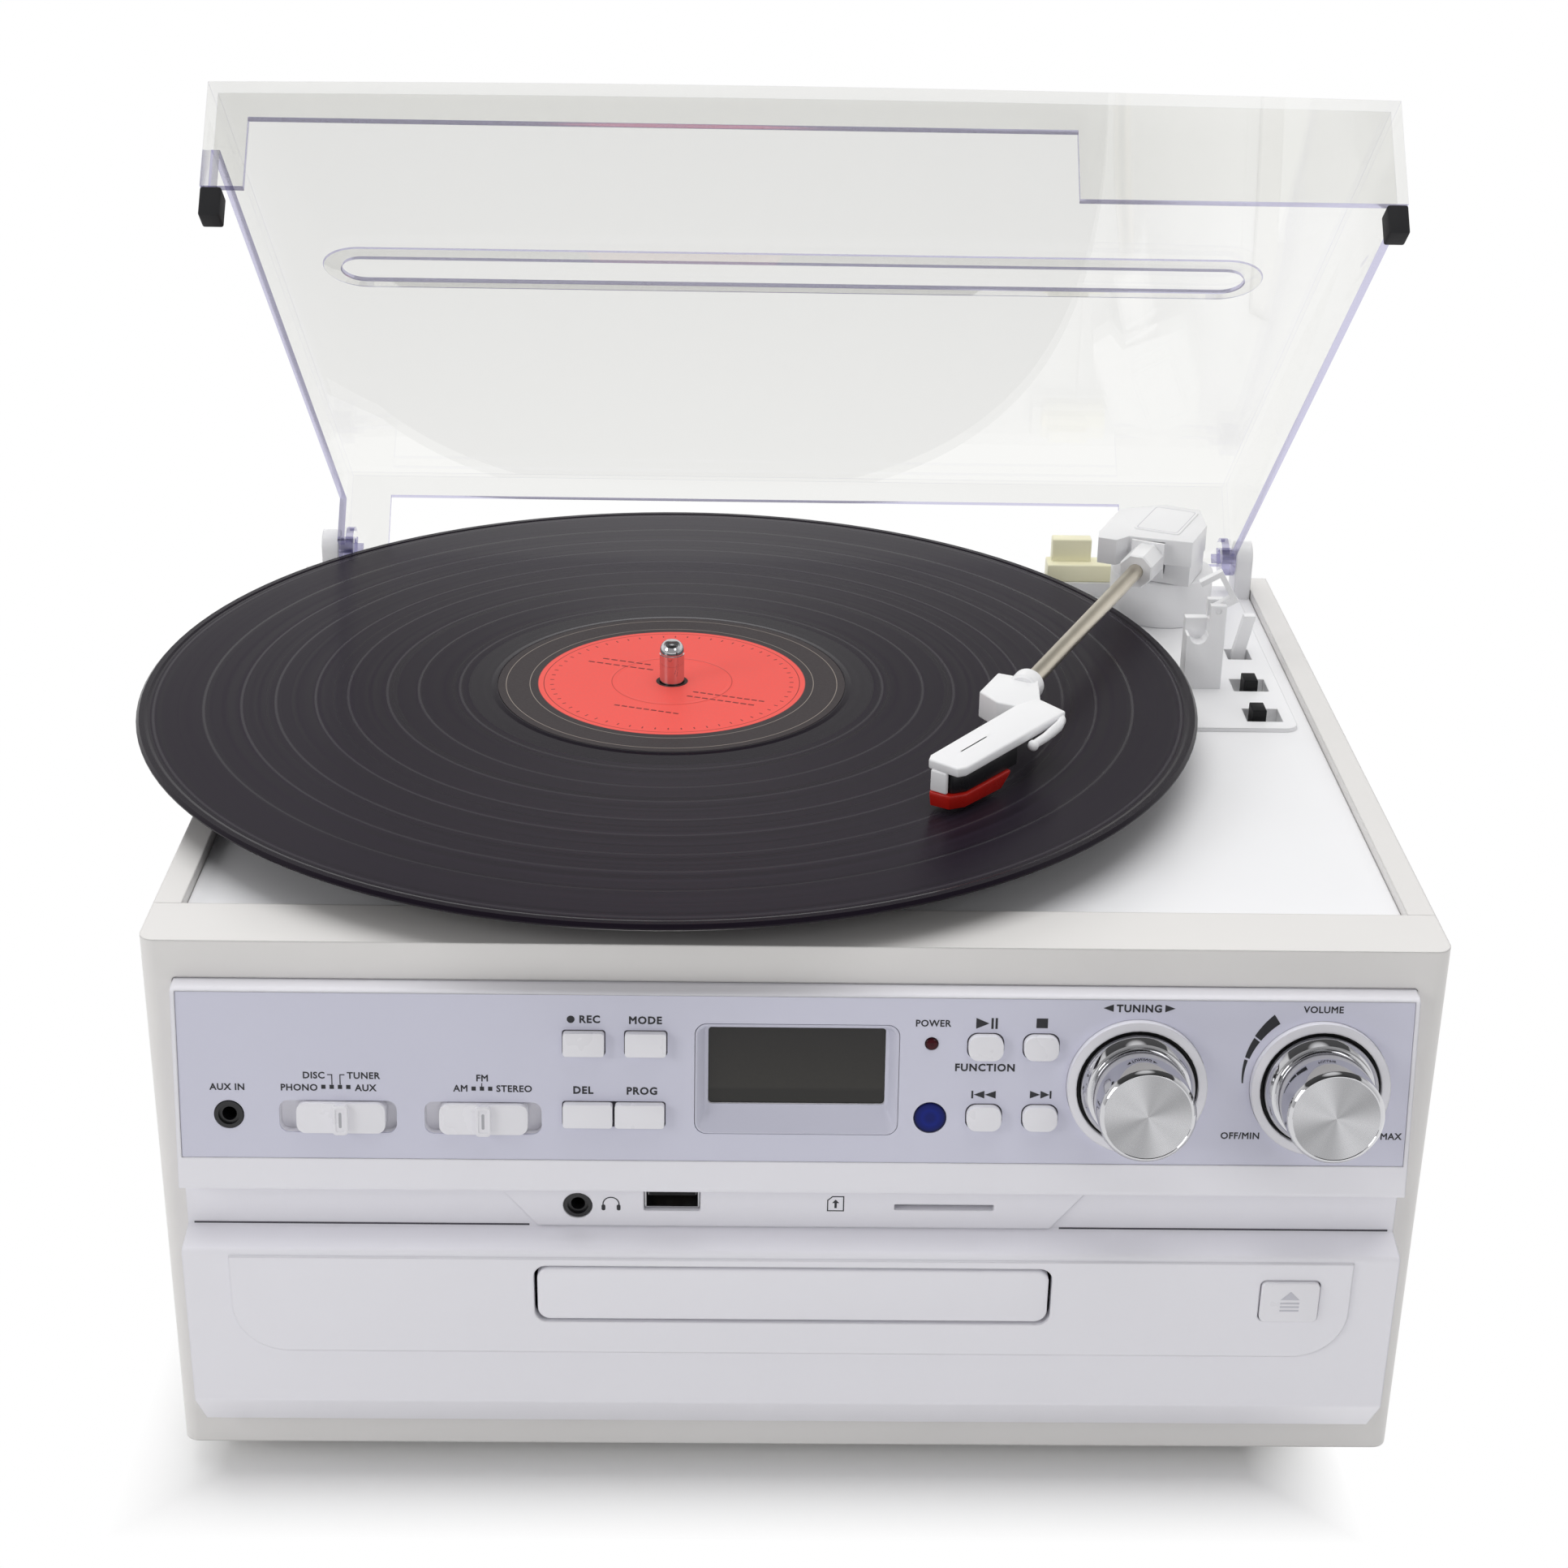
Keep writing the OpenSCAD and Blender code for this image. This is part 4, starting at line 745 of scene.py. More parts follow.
class MUSIC_OT_stage(Piece):
    """Camera, floor and lights"""

    bl_idname = "music.stage"
    bl_label = "Stage"

    def make(self, context):
        self.camera(context)
        self.floor(SET("stage"))
        self.world(context, SET("stage").world_light)
        self.lamps(context, SET("stage"))

    def camera(self, context):
        """The camera as it was fitted to the photo: lengths in pixels, angles in radians, place in metres."""
        focal, width, sensor = 3230.65, 1932, 36
        pitch, yaw, roll = 0.42073, 0.02259, -0.0204
        lens = bpy.data.cameras.new("camera")
        lens.sensor_width, lens.lens = sensor, sensor * focal / width
        lens.shift_x, lens.shift_y = -0.01063, -0.02046
        ahead = Vector((sin(yaw) * cos(pitch), cos(yaw) * cos(pitch), -sin(pitch)))
        right = Vector((cos(yaw), -sin(yaw), 0))
        down = ahead.cross(right)
        x = right * cos(roll) + down * sin(roll)
        y = right * sin(roll) - down * cos(roll)
        camera = placed("camera", lens)
        camera.matrix_world = moved(-0.000179, -0.691706, 0.460877) @ Matrix((x, y, -ahead)).transposed().to_4x4()
        context.scene.camera = camera

    def floor(self, sizes):
        """White floor that takes a shadow close to the object and is plain white to the camera further out."""
        shadow_half, near, far = (0.134, 0.131, 1), 0.002, 0.028
        bm = bmesh.new()
        bmesh.ops.create_grid(bm, x_segments=4, y_segments=4, size=9)
        mesh = to_mesh(bm, outward=False)
        floor = placed("floor", mesh)
        material, g, body, place = start_material("floor_white")
        tone = sizes.floor_colour
        base = g.blend(g.noise(place, 3), shade(tone, 0.995), shade(tone, 1.005))
        g.feed(body, Base_Color=base, Roughness=0.8, Specular_IOR_Level=0.0)
        rays = g.add("ShaderNodeLightPath").outputs
        seen = g.math("MAXIMUM", rays["Is Glossy Ray"], rays["Is Transmission Ray"])
        seen = g.math("MAXIMUM", rays["Is Camera Ray"], seen)
        glow = g.add("ShaderNodeEmission", Color=(1, 1, 1, 1), Strength=1.0)
        beyond = g.vector("SUBTRACT", g.vector("ABSOLUTE", place), shadow_half)
        apart = g.add("ShaderNodeSeparateXYZ", Vector=beyond).outputs
        share = g.spread(g.math("MAXIMUM", apart[0], apart[1]), sizes.floor_glow, 1, near, far)
        mixed = g.add("ShaderNodeMixShader", Fac=g.math("MULTIPLY", seen, share), i1=body, i2=glow)
        g.feed(g.nodes["Material Output"], Surface=mixed)
        mesh.materials.append(material)

    def world(self, context, light):
        """White room, darker behind the camera; mirrors see it at full white, with a dark band and a dark high back."""
        world = bpy.data.worlds.new("room")
        world.use_nodes = True
        g = Graph(world.node_tree)
        g.nodes.clear()
        generated = g.add("ShaderNodeTexCoord").outputs["Generated"]
        _, y, z = g.add("ShaderNodeSeparateXYZ", Vector=generated).outputs
        behind = g.spread(y, 0.42, 1.0, -0.5, 0.3)
        band = g.between(z, 0.64, 0.972, 0.02)
        high = g.math("MULTIPLY", g.spread(y, 0, 0.9, 0.1, 0.4), g.spread(z, 0, 1, 0.36, 0.48))
        dark = g.math("MAXIMUM", band, high)
        mirrored = g.math("MULTIPLY_ADD", dark, -0.9, 1.0 - light)
        rays = g.add("ShaderNodeLightPath").outputs
        seen = g.math("MAXIMUM", rays["Is Camera Ray"], rays["Is Transmission Ray"])
        level = g.math("MULTIPLY_ADD", rays["Is Glossy Ray"], mirrored, light)
        strength = g.math("ADD", g.math("MULTIPLY", behind, level), seen)
        strength = g.math("MINIMUM", strength, 1.0)
        back = g.add("ShaderNodeBackground", Color=(1, 1, 1, 1), Strength=strength)
        g.add("ShaderNodeOutputWorld", Surface=back)
        context.scene.world = world

    def lamps(self, context, sizes):
        """Four square lamps; the high ones aren't seen in mirrors."""
        top, front = sizes.top_light, sizes.front_light
        for name, place, aim, width, power in (
            ("top_lamp", (0.1, 0.15, 1.7), (0, 0.05, 0), 1.5, top),
            ("back_lamp", (-0.35, 1.5, 1.25), (0, 0, 0.15), 0.9, top * 0.28),
            ("left_lamp", (-1.6, -1.0, 0.9), (0, 0, 0.1), 0.8, front),
            ("right_lamp", (1.1, -1.5, 1.2), (0, 0, 0.1), 0.7, front * 0.4),
        ):
            lamp = bpy.data.lights.new(name, "AREA")
            lamp.shape, lamp.size, lamp.energy = "SQUARE", width, power
            holder = placed(name, lamp)
            turn = (Vector(place) - Vector(aim)).to_track_quat("Z", "Y").to_matrix().to_4x4()
            holder.matrix_world = Matrix.Translation(place) @ turn
            holder.visible_glossy = name not in ("top_lamp", "back_lamp")


class MUSIC_OT_case(Piece):
    """Case boards, deck, feet and the screws at the back"""

    bl_idname = "music.case"
    bl_label = "Case"

    def make(self, context):
        dress("paint", "front_frame", "side_boards")
        dress("back_paint", "base_board", "rear_board")
        dress("deck", "top_deck")
        dress("rubber", "feet")
        self.screws()

    def screws(self):
        """Pan heads with a cross recess, copied on the points of the four corners."""
        head = lathe([(0.5, 0), (4, 0), (4, 0.35), (3.6, 0.95), (2.6, 1.35)], 16)
        cross = bmesh.new()
        for angle in (0, 90):
            block(cross, -1.9, -0.35, 1.9, 0.35, 0.55, 1.40, turned(angle, "Z"))
        low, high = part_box("case_screws")
        head_radius = 0.004
        mid, half = (low + high) / 2, (high - low) / 2
        reach_x, reach_z = half.x - head_radius, half.z - head_radius
        points = [(-1000 * (mid.x + i * reach_x), 1000 * (mid.z + j * reach_z), 0) for i in (-1, 1) for j in (-1, 1)]
        rear = moved(0, low.y) @ MM @ Matrix(((-1, 0, 0, 0), (0, 0, 1, 0), (0, 1, 0, 0), (0, 0, 0, 1)))
        tree = copies_tree()
        for name, bm, look, node, smooth in (
            ("case_screw_heads", head, "steel", "case_screws", 32),
            ("case_screw_slots", cross, "matt_black", None, 0),
        ):
            shape = bpy.data.objects.new("screw_shape", to_mesh(bm))
            shape.data.materials.append(FINISH[look])
            copies = grown(tree, look, rear, points, Shape=shape, Size=1.0, Turn=0.7)
            put(name, copies, None, "case", node, smooth)
            bpy.data.objects.remove(shape)


class MUSIC_OT_turntable(Piece):
    """Platter, mat, record, label, spindle and drive"""

    bl_idname = "music.turntable"
    bl_label = "Turntable"

    def make(self, context):
        sizes = SET("turntable")
        dress("vinyl", "record")
        dress("label", "record_label")
        dress("platter", "platter")
        dress("rubber", "platter_mat", "drive_belt")
        dress("brass", "bearing_bush", "motor_pulley")
        dress("steel", "drive_motor")
        self.spindle()
        low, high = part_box("platter_mat")
        place, count = at_pin(high.z - 0.00028), sizes.ribs
        ribs = grown(ribs_tree(), "rubber", place, Rings=count, First_radius=56.0, Step=4.5, Rib=0.0042)
        put("mat_ribs", ribs, None, "turntable")
        self.label_marks(sizes)

    def spindle(self):
        """Bright pin with a waist under its round end."""
        low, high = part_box("spindle")
        foot, top, axle, r = low.z * 1000, high.z * 1000, 3.4, 3.55
        waist, dome = r - 0.25, top - 3.3
        profile = [(axle, foot), (axle, 169.45), (r, 169.5), (r, top - 3.9), (waist, top - 3.7), (waist, top - 3.5)]
        profile.append((r - 0.02, dome))
        for a in (radians(15 * k) for k in range(1, 7)):
            profile.append((1.1 + (r - 1.12) * cos(a), dome + 3.3 * sin(a)))
        mesh = to_mesh(lathe(profile + [(0.2, top)], 48), at_pin())
        put("spindle_pin", mesh, "chrome", "turntable", "spindle")

    def label_marks(self, sizes):
        """A generic printed design: short marks near the rim and a few bars, with no words."""
        place = at_pin(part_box("record_label")[1].z)
        tree = marks_tree()
        ring = grown(tree, "red_print", place, Count=sizes.ticks, Radius=34.6, Mark_size=(1.1, 0.35, 0.03))
        put("label_ring_marks", ring, None, "turntable", smooth=0)
        place = place @ turned(162, "Z")
        rows = ((-27, 9, 9, 2.3, 1.7), (-29, 5.5, 10, 2.2, 1.6), (9, -6, 8, 2.6, 1.9), (11, -9.5, 6, 2.6, 1.9),
                (-9, 22, 9, 2.2, 1.6))
        for k, (x, y, count, pitch, width) in enumerate(rows, 1):
            bars = dict(Count=count, Pitch=pitch, Mark_size=(width, 0.7, 0.03))
            row = grown(tree, "red_print", place @ moved(x, y), **bars)
            put(f"label_row_{k}", row, None, "turntable", smooth=0)


class MUSIC_OT_arm(Piece):
    """Arm, head, cartridge, rest and the switches beside them"""

    bl_idname = "music.arm"
    bl_label = "Arm"

    def make(self, context):
        soft = SET("arm").rounding
        refined("arm_base", "arm_white", 0.5)
        refined("arm_housing", "arm_white", soft * 0.7)
        self.sleeve()
        self.head(soft)
        self.finger_lift()
        self.cartridge()
        for node, width in (("arm_rest", 0.5), ("rest_clip", 0.35), ("cue_lever", 0.5)):
            refined(node, "arm_white", width)
        for node in ("speed_knob", "stop_knob"):
            refined(node, "matt_black", 0.35)
        dress("champagne", "arm_tube")
        self.stand()
        self.switch_skirts()
        self.seams()

    def sleeve(self):
        """Eight-sided sleeve, wider where it leaves the housing, with a round mouth for the tube."""
        side = tau / 8
        outer = ((-11, 4.2), (18.5, 4.2), (18.8, 5.2), (19, 5.3), (30.9, 5.2), (31.5, 4.8))
        mouth = ((31.5, 2.45), (26, 2.45))
        rings = []
        for u, r in outer + mouth:
            ring = []
            for a in angles(32):
                reach = r if (u, r) in mouth else r / cos(a % side - side / 2)
                ring.append((u, reach * cos(a + side / 2), reach * sin(a + side / 2)))
            rings.append(ring)
        bm = skinned(rings)
        bmesh.ops.dissolve_limit(bm, angle_limit=radians(1), verts=bm.verts, edges=bm.edges)
        block(bm, 18.45, -5.3, 19.4, 5.3, -5.8, 5.9)
        pivot = lathe([(1.2, -8.7), (1.45, -8.5), (1.45, 8.5), (1.2, 8.7)], 24)
        mesh = to_mesh(joined(to_mesh(bm), to_mesh(pivot, UPRIGHT)), ARM @ moved(0, 0, 180))
        put("arm_sleeve_body", mesh, "arm_white", "arm", "arm_sleeve", 30)

    def head(self, soft):
        """Collar on the tube, and a thin slanted head with its block and front tab."""
        collar = ring_of([(2.5, 132.5), (4.1, 132.5), (4.6, 133.0), (4.6, 137.6), (4.0, 138.5), (2.5, 138.5)], 40)
        bm = closed([[(z, y, x + 180) for x, y, z in ring] for ring in collar])
        put("head_collar", to_mesh(bm, ARM), "arm_white", "arm", smooth=30)
        stem = [(135.5, -8.3), (150.5, -8.3), (155.5, -1.3), (155.5, 8.7), (148.5, 8.7), (135.5, 3.7)]
        cap = [(148, 7.6), (155, 4), (196.4, -5), (199.2, -4.4), (201.6, 4.6), (199.6, 6.3), (153.4, 17.6)]
        under = [(160, 3.2), (192, -3.6), (194, 5.6), (161, 12.6)]
        tab = [(198.7, -3.6), (199.9, -3.5), (200.8, 1.3), (199.6, 1.6)]
        bm = bmesh.new()
        slab(bm, stem, 175.2, 182.9)
        slab(bm, cap, 180.3, 183)
        slab(bm, under, 178.9, 180.35)
        slab(bm, tab, 174.4, 180.5)
        mesh = bevelled(to_mesh(bm, ARM), soft * 0.75)
        put("head_body", mesh, "arm_white", "arm", "headshell", 35)

    def finger_lift(self):
        """Curved lift at the side of the head, thinner towards the ball at its end."""
        path = [(152.6, 15.6), (155, 17.1), (159, 17.6), (163, 17.3), (167, 16.5), (171.6, 15.0)]
        sections = [(1.6, 1.15, 180.7)] * 4 + [(1.35, 1.1, 180.3), (1.2, 1.1, 179.8)]
        rings = []
        for k, ((u, v), (tall, wide, z)) in enumerate(zip(path, sections)):
            ahead, back = path[min(k + 1, 5)], path[max(k - 1, 0)]
            d = Vector((ahead[0] - back[0], ahead[1] - back[1])).normalized() * wide
            rings.append([(u - d.y * cos(a), v + d.x * cos(a), z + tall * sin(a)) for a in angles(16)])
        put("finger_lift", to_mesh(skinned(rings), ARM), "arm_white", "arm", smooth=40)
        tip = bmesh.new()
        bmesh.ops.create_uvsphere(tip, u_segments=20, v_segments=12, radius=1.5)
        mesh = to_mesh(tip, ARM @ moved(172.0, 14.9, 179.7))
        put("finger_ball", mesh, "arm_white", "arm", smooth=60)

    def cartridge(self):
        """Black cartridge under the head, with the red stylus holder and its tip."""
        bm = bmesh.new()
        slab(bm, [(172, 2.6), (196.2, -4), (198.2, -3.6), (199.4, 2.6), (196.4, 5.4), (174, 11.4)], 174.4, 180.4)
        mesh = bevelled(to_mesh(bm, ARM), 0.4)
        put("cartridge_body", mesh, "black", "arm", "cartridge", 35)
        upper = [(176, 2.0), (196.2, -4.3), (200.4, -3.4), (201.0, 2.4), (197.4, 5.8), (178, 11.0)]
        lower = [(180, 1.6), (196.3, -4.0), (199.9, -3.2), (200.5, 2.2), (197.1, 5.4), (182, 10.0)]
        bm = skinned([[(u, v, z) for u, v in row] for row, z in ((upper, 174.35), (upper, 173.4), (lower, 170.3))])
        mesh = bevelled(to_mesh(bm, ARM), 0.25, 2)
        put("stylus_holder", mesh, "red", "arm", "stylus", 30)
        needle = to_mesh(lathe([(0.1, 169.35), (0.25, 169.6), (0.45, 170.7)], 16), ARM @ moved(195, 1))
        put("stylus_tip", needle, "steel", "arm", smooth=40)

    def stand(self):
        """Stepped cream block: a low wide part with a narrower one set back on it."""
        bm = bmesh.new()
        block(bm, 85, 248, 106, 256.4, 161, 166.9)
        block(bm, 86.6, 251.6, 99.5, 256.4, 166.5, 174.5)
        mesh = bevelled(to_mesh(bm, CASE), 0.5)
        put("stand_body", mesh, "cream", "case", "adapter_stand", 35)

    def switch_skirts(self):
        """White slides that close each slot under its knob."""
        for node, x, y in (("speed_knob", 139.3, 172.8), ("stop_knob", 137.9, 149.8)):
            bm = bmesh.new()
            block(bm, x - 9, y - 5.6, x + 9, y + 5.6, 150.9, 151.75)
            body = NODES[node]["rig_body"]
            put(node + "_skirt", to_mesh(bm, CASE), "slide_white", body, smooth=0)

    def seams(self):
        """Fine lines along the head's cap and round the inset of the housing."""
        bm = bmesh.new()
        slab(bm, [(179, 4.0), (191, 1.3), (191.1, 1.7), (179.1, 4.4)], 182.95, 183.0)
        put("head_line", to_mesh(bm, ARM), "pale_print", "arm", smooth=0)
        wide, narrow = rounded(22.4, 13.4, 1.2, 4), rounded(22.0, 13.0, 1.2, 4)
        levels = ((wide, 187.01), (wide, 187.02), (narrow, 187.02), (narrow, 187.01))
        bm = closed([[(x - 1, y, z) for x, y in outline] for outline, z in levels])
        put("housing_inset_line", to_mesh(bm, ARM), "pale_print", "arm_yaw", smooth=0)


class MUSIC_OT_front(Piece):
    """Moulded front, control plate, display, lamp, window and sockets"""

    bl_idname = "music.front"
    bl_label = "Front"

    def make(self, context):
        dress("fascia", "fascia")
        refined("tray_door", "fascia", 0.5)
        self.strip_seam()
        dress("plate", "control_plate")
        dress("display", "display_window")
        dress("black", "jack_sockets")
        dress("steel", "media_sockets")
        refined("eject_button", "button", 0.45)
        self.display_bezel()
        self.lenses()
        self.sockets()

    def strip_seam(self):
        """Dark line of painted shade where the port strip meets the lower front."""
        bm = bmesh.new()
        for x0, x1 in ((-150.4, -66.5), (67, 150.4)):
            block(bm, x0, 81.42, x1, 81.95, 6.6, 6.92)
        put("strip_seam", to_mesh(bm, CASE @ UPRIGHT), "shadow_gap", "case", smooth=0)

    def display_bezel(self):
        """Satin frame that slopes in from the plate to the display."""
        rings = []
        for w, h, s, r, y in (
            (49.8, 28.6, 22.3, 2.9, 0.16),
            (49.2, 28.0, 22.3, 2.7, 0.10),
            (48.4, 27.2, 22.25, 2.4, 0.35),
            (45.2, 22.6, 20.6, 1.2, 2.6),
            (43.5, 20.1, 19.8, 0.8, 2.9),
            (43.5, 20.1, 19.8, 0.8, 3.1),
            (49.8, 28.6, 22.3, 2.9, 3.1),
        ):
            rings.append([(u, y, v - s) for u, v in rounded(w, h, r, 6)])
        put("display_bezel", to_mesh(closed(rings), PANEL), "bezel", "case", smooth=25)

    def lenses(self):
        """Lamp and window: a stem, a flange behind the plate and a crowned face."""
        for node, at, r, crown, sunk, back, slot, look in (
            ("power_lamp", LAMP_AT, 1.6, 0.55, 0.1, 9.6, "lamp_red", "lamp"),
            ("remote_window", WINDOW_AT, 4.0, 0.25, 0.35, 9.8, "remote_blue", "window"),
        ):
            profile = [(r * 0.6, -back), (r * 0.6, -5), (r + 0.5, -5), (r + 0.5, -4), (r, -4), (r, -sunk)]
            for a in (radians(15 * k) for k in range(1, 6)):
                profile.append((r * cos(a), crown * sin(a) - sunk))
            mesh = to_mesh(lathe(profile + [(r * 0.08, crown - sunk)], 40), on_panel(*at) @ UPRIGHT)
            put(node + "_lens", mesh, look, "case", node)

    def sockets(self):
        """Contact rings in the round sockets, tongue and contacts of the flat one."""
        profile = [(1.80, -3.4), (1.80, -1.0), (2.35, -0.86), (2.45, -0.9), (2.45, -3.4)]
        for name, place in (
            ("aux_contact", on_panel(-138.8, 32.6)),
            ("headphone_contact", CASE @ moved(-54.2, -7.2, 87.8)),
        ):
            mesh = to_mesh(closed(ring_of(profile, 32)), place @ UPRIGHT)
            put(name, mesh, "black", "case")
        place = CASE @ moved(-30.6, -6.4, 89.4)
        bm = bmesh.new()
        slab(bm, rounded(12.8, 4.5, 0.2, 2), -6.0, -5.6, UPRIGHT)
        block(bm, -5.9, 0.36, 5.9, 2.04, -8, -0.9, UPRIGHT)
        put("socket_tongue", to_mesh(bm, place), "matt_black", "case", smooth=0)
        row = dict(Count=4, Pitch=2.4, Mark_size=(1.1, 5.0, 0.1))
        pads = grown(marks_tree(), "brass", place @ moved(-3.6, 4.0, 0.34), **row)
        put("socket_contacts", pads, None, "case", smooth=0)


class MUSIC_OT_buttons(Piece):
    """Push buttons and the two sliders"""

    bl_idname = "music.buttons"
    bl_label = "Buttons and sliders"

    def make(self, context):
        for node in ("record", "mode", "delete", "program"):
            refined(node + "_button", "button", 0.4, 3, 30)
        for node in ("play", "stop", "previous", "next"):
            refined(node + "_button", "button", 0.55, 4, 50)
        for node, x, s in (("function_slider", -111.4, 33), ("band_slider", -76.6, 33.1)):
            refined(node, "button", 0.45, 3, 50)
            self.pointer(node, on_panel(x, s) @ UPRIGHT)
        self.liners()

    def liners(self):
        """Dark lining that paints the shade in the narrow gap round each button."""
        section = ((0.05, -1.4), (0.29, -1.4), (0.29, -0.28), (0.05, -0.28))
        meshes = []
        for x, s, w, h, r in (
            (-52.05, 13.1, 10, 6, 0.8), (-36.95, 13.1, 10, 6, 0.8), (-51.1, 31.7, 12.1, 6.1, 0.8),
            (-38.4, 31.7, 12.1, 6.1, 0.8), (46, 13.1, 8.5, 6.3, 2.5), (59.6, 13.1, 8.5, 6.3, 2.5),
            (46.1, 31.6, 8.5, 6.3, 2.5), (59.9, 31.6, 8.5, 6.3, 2.5),
        ):
            rings = []
            for g, z in section:
                rings.append([(x + u, v - s, z) for u, v in rounded(w + 2 * g, h + 2 * g, r + g, 6)])
            meshes.append(to_mesh(closed(rings)))
        mesh = to_mesh(joined(*meshes), PANEL @ UPRIGHT)
        put("button_gaps", mesh, "shadow_gap", "case", smooth=0)

    def pointer(self, node, place):
        """Raised frame on the slider's pointer with a sunk line in its middle."""
        body = NODES[node]["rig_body"]
        bm = bmesh.new()
        slab(bm, rounded(0.7, 4.0, 0.3, 4), 2.18, 2.23)
        put(node + "_line", to_mesh(bm, place), "grey_print", body, smooth=0)
        rings = []
        for w, h, r, z in ((3.6, 7.3, 1.0, 2.15), (3.5, 7.2, 0.95, 2.42), (2.9, 6.6, 0.7, 2.5), (2.3, 6.0, 0.5, 2.42),
                           (2.2, 5.9, 0.5, 2.15)):
            rings.append([(u, v, z) for u, v in rounded(w, h, r, 5)])
        put(node + "_frame", to_mesh(closed(rings), place), "button", body)


class MUSIC_OT_knobs(Piece):
    """The two large knobs with mirror sides and spun faces"""

    bl_idname = "music.knobs"
    bl_label = "Knobs"

    def make(self, context):
        sizes = SET("control")
        r, length, cut = sizes.knob_radius, sizes.knob_length, sizes.knob_bevel
        stem = [(3.0, -8.7), (3.0, -2.9)]
        skirt = [(13.6, -2.9), (14.0, -2.6), (14.0, 3.0), (13.9, 3.3), (12.7, 4.9), (12.4, 5.0)]
        side = [(r + 0.12, 5.0), (r, 5.12), (r, length - cut - 0.1), (r - 0.04, length - cut)]
        rim = [(r - cut * 0.85, length - 0.06), (r - cut * 0.95, length), (r - cut - 0.15, length)]
        face = [(r - cut - 0.3, length - 0.12), (0.25, length - 0.12)]
        profile = stem + skirt + side + rim + face
        slots = [0] * (len(profile) - 2) + [1]
        for body, x, s in (("tuning", 83.4, 23.1), ("volume", 128.5, 23.1)):
            place = on_panel(x, s) @ UPRIGHT
            out = (place.to_3x3() @ Vector((0, 0, 1))).normalized()
            # wedge paints darker wedges into the spun faces: painted reflection
            spun = dict(axis=out, streak=0.14, pull=0.9, wedge=0.42)
            name = body + "_face"
            FINISH[name] = turned_metal(name, shade(sizes.knob, 0.84), 0.26, place.translation, 9000, **spun)
            mesh = to_mesh(lathe(profile, 128, slots, (0, 1)), place)
            put(body + "_knob_body", mesh, ["chrome", name], body, body + "_knob", 28)
            # painted shade: a black ring stands for the shade in the gap round the knob's skirt
            gap = closed(ring_of([(14.1, 0.6), (14.9, 0.6), (14.9, -3.0), (14.1, -3.0)], 64))
            put(body + "_gap_ring", to_mesh(gap, place), "matt_black", "case")


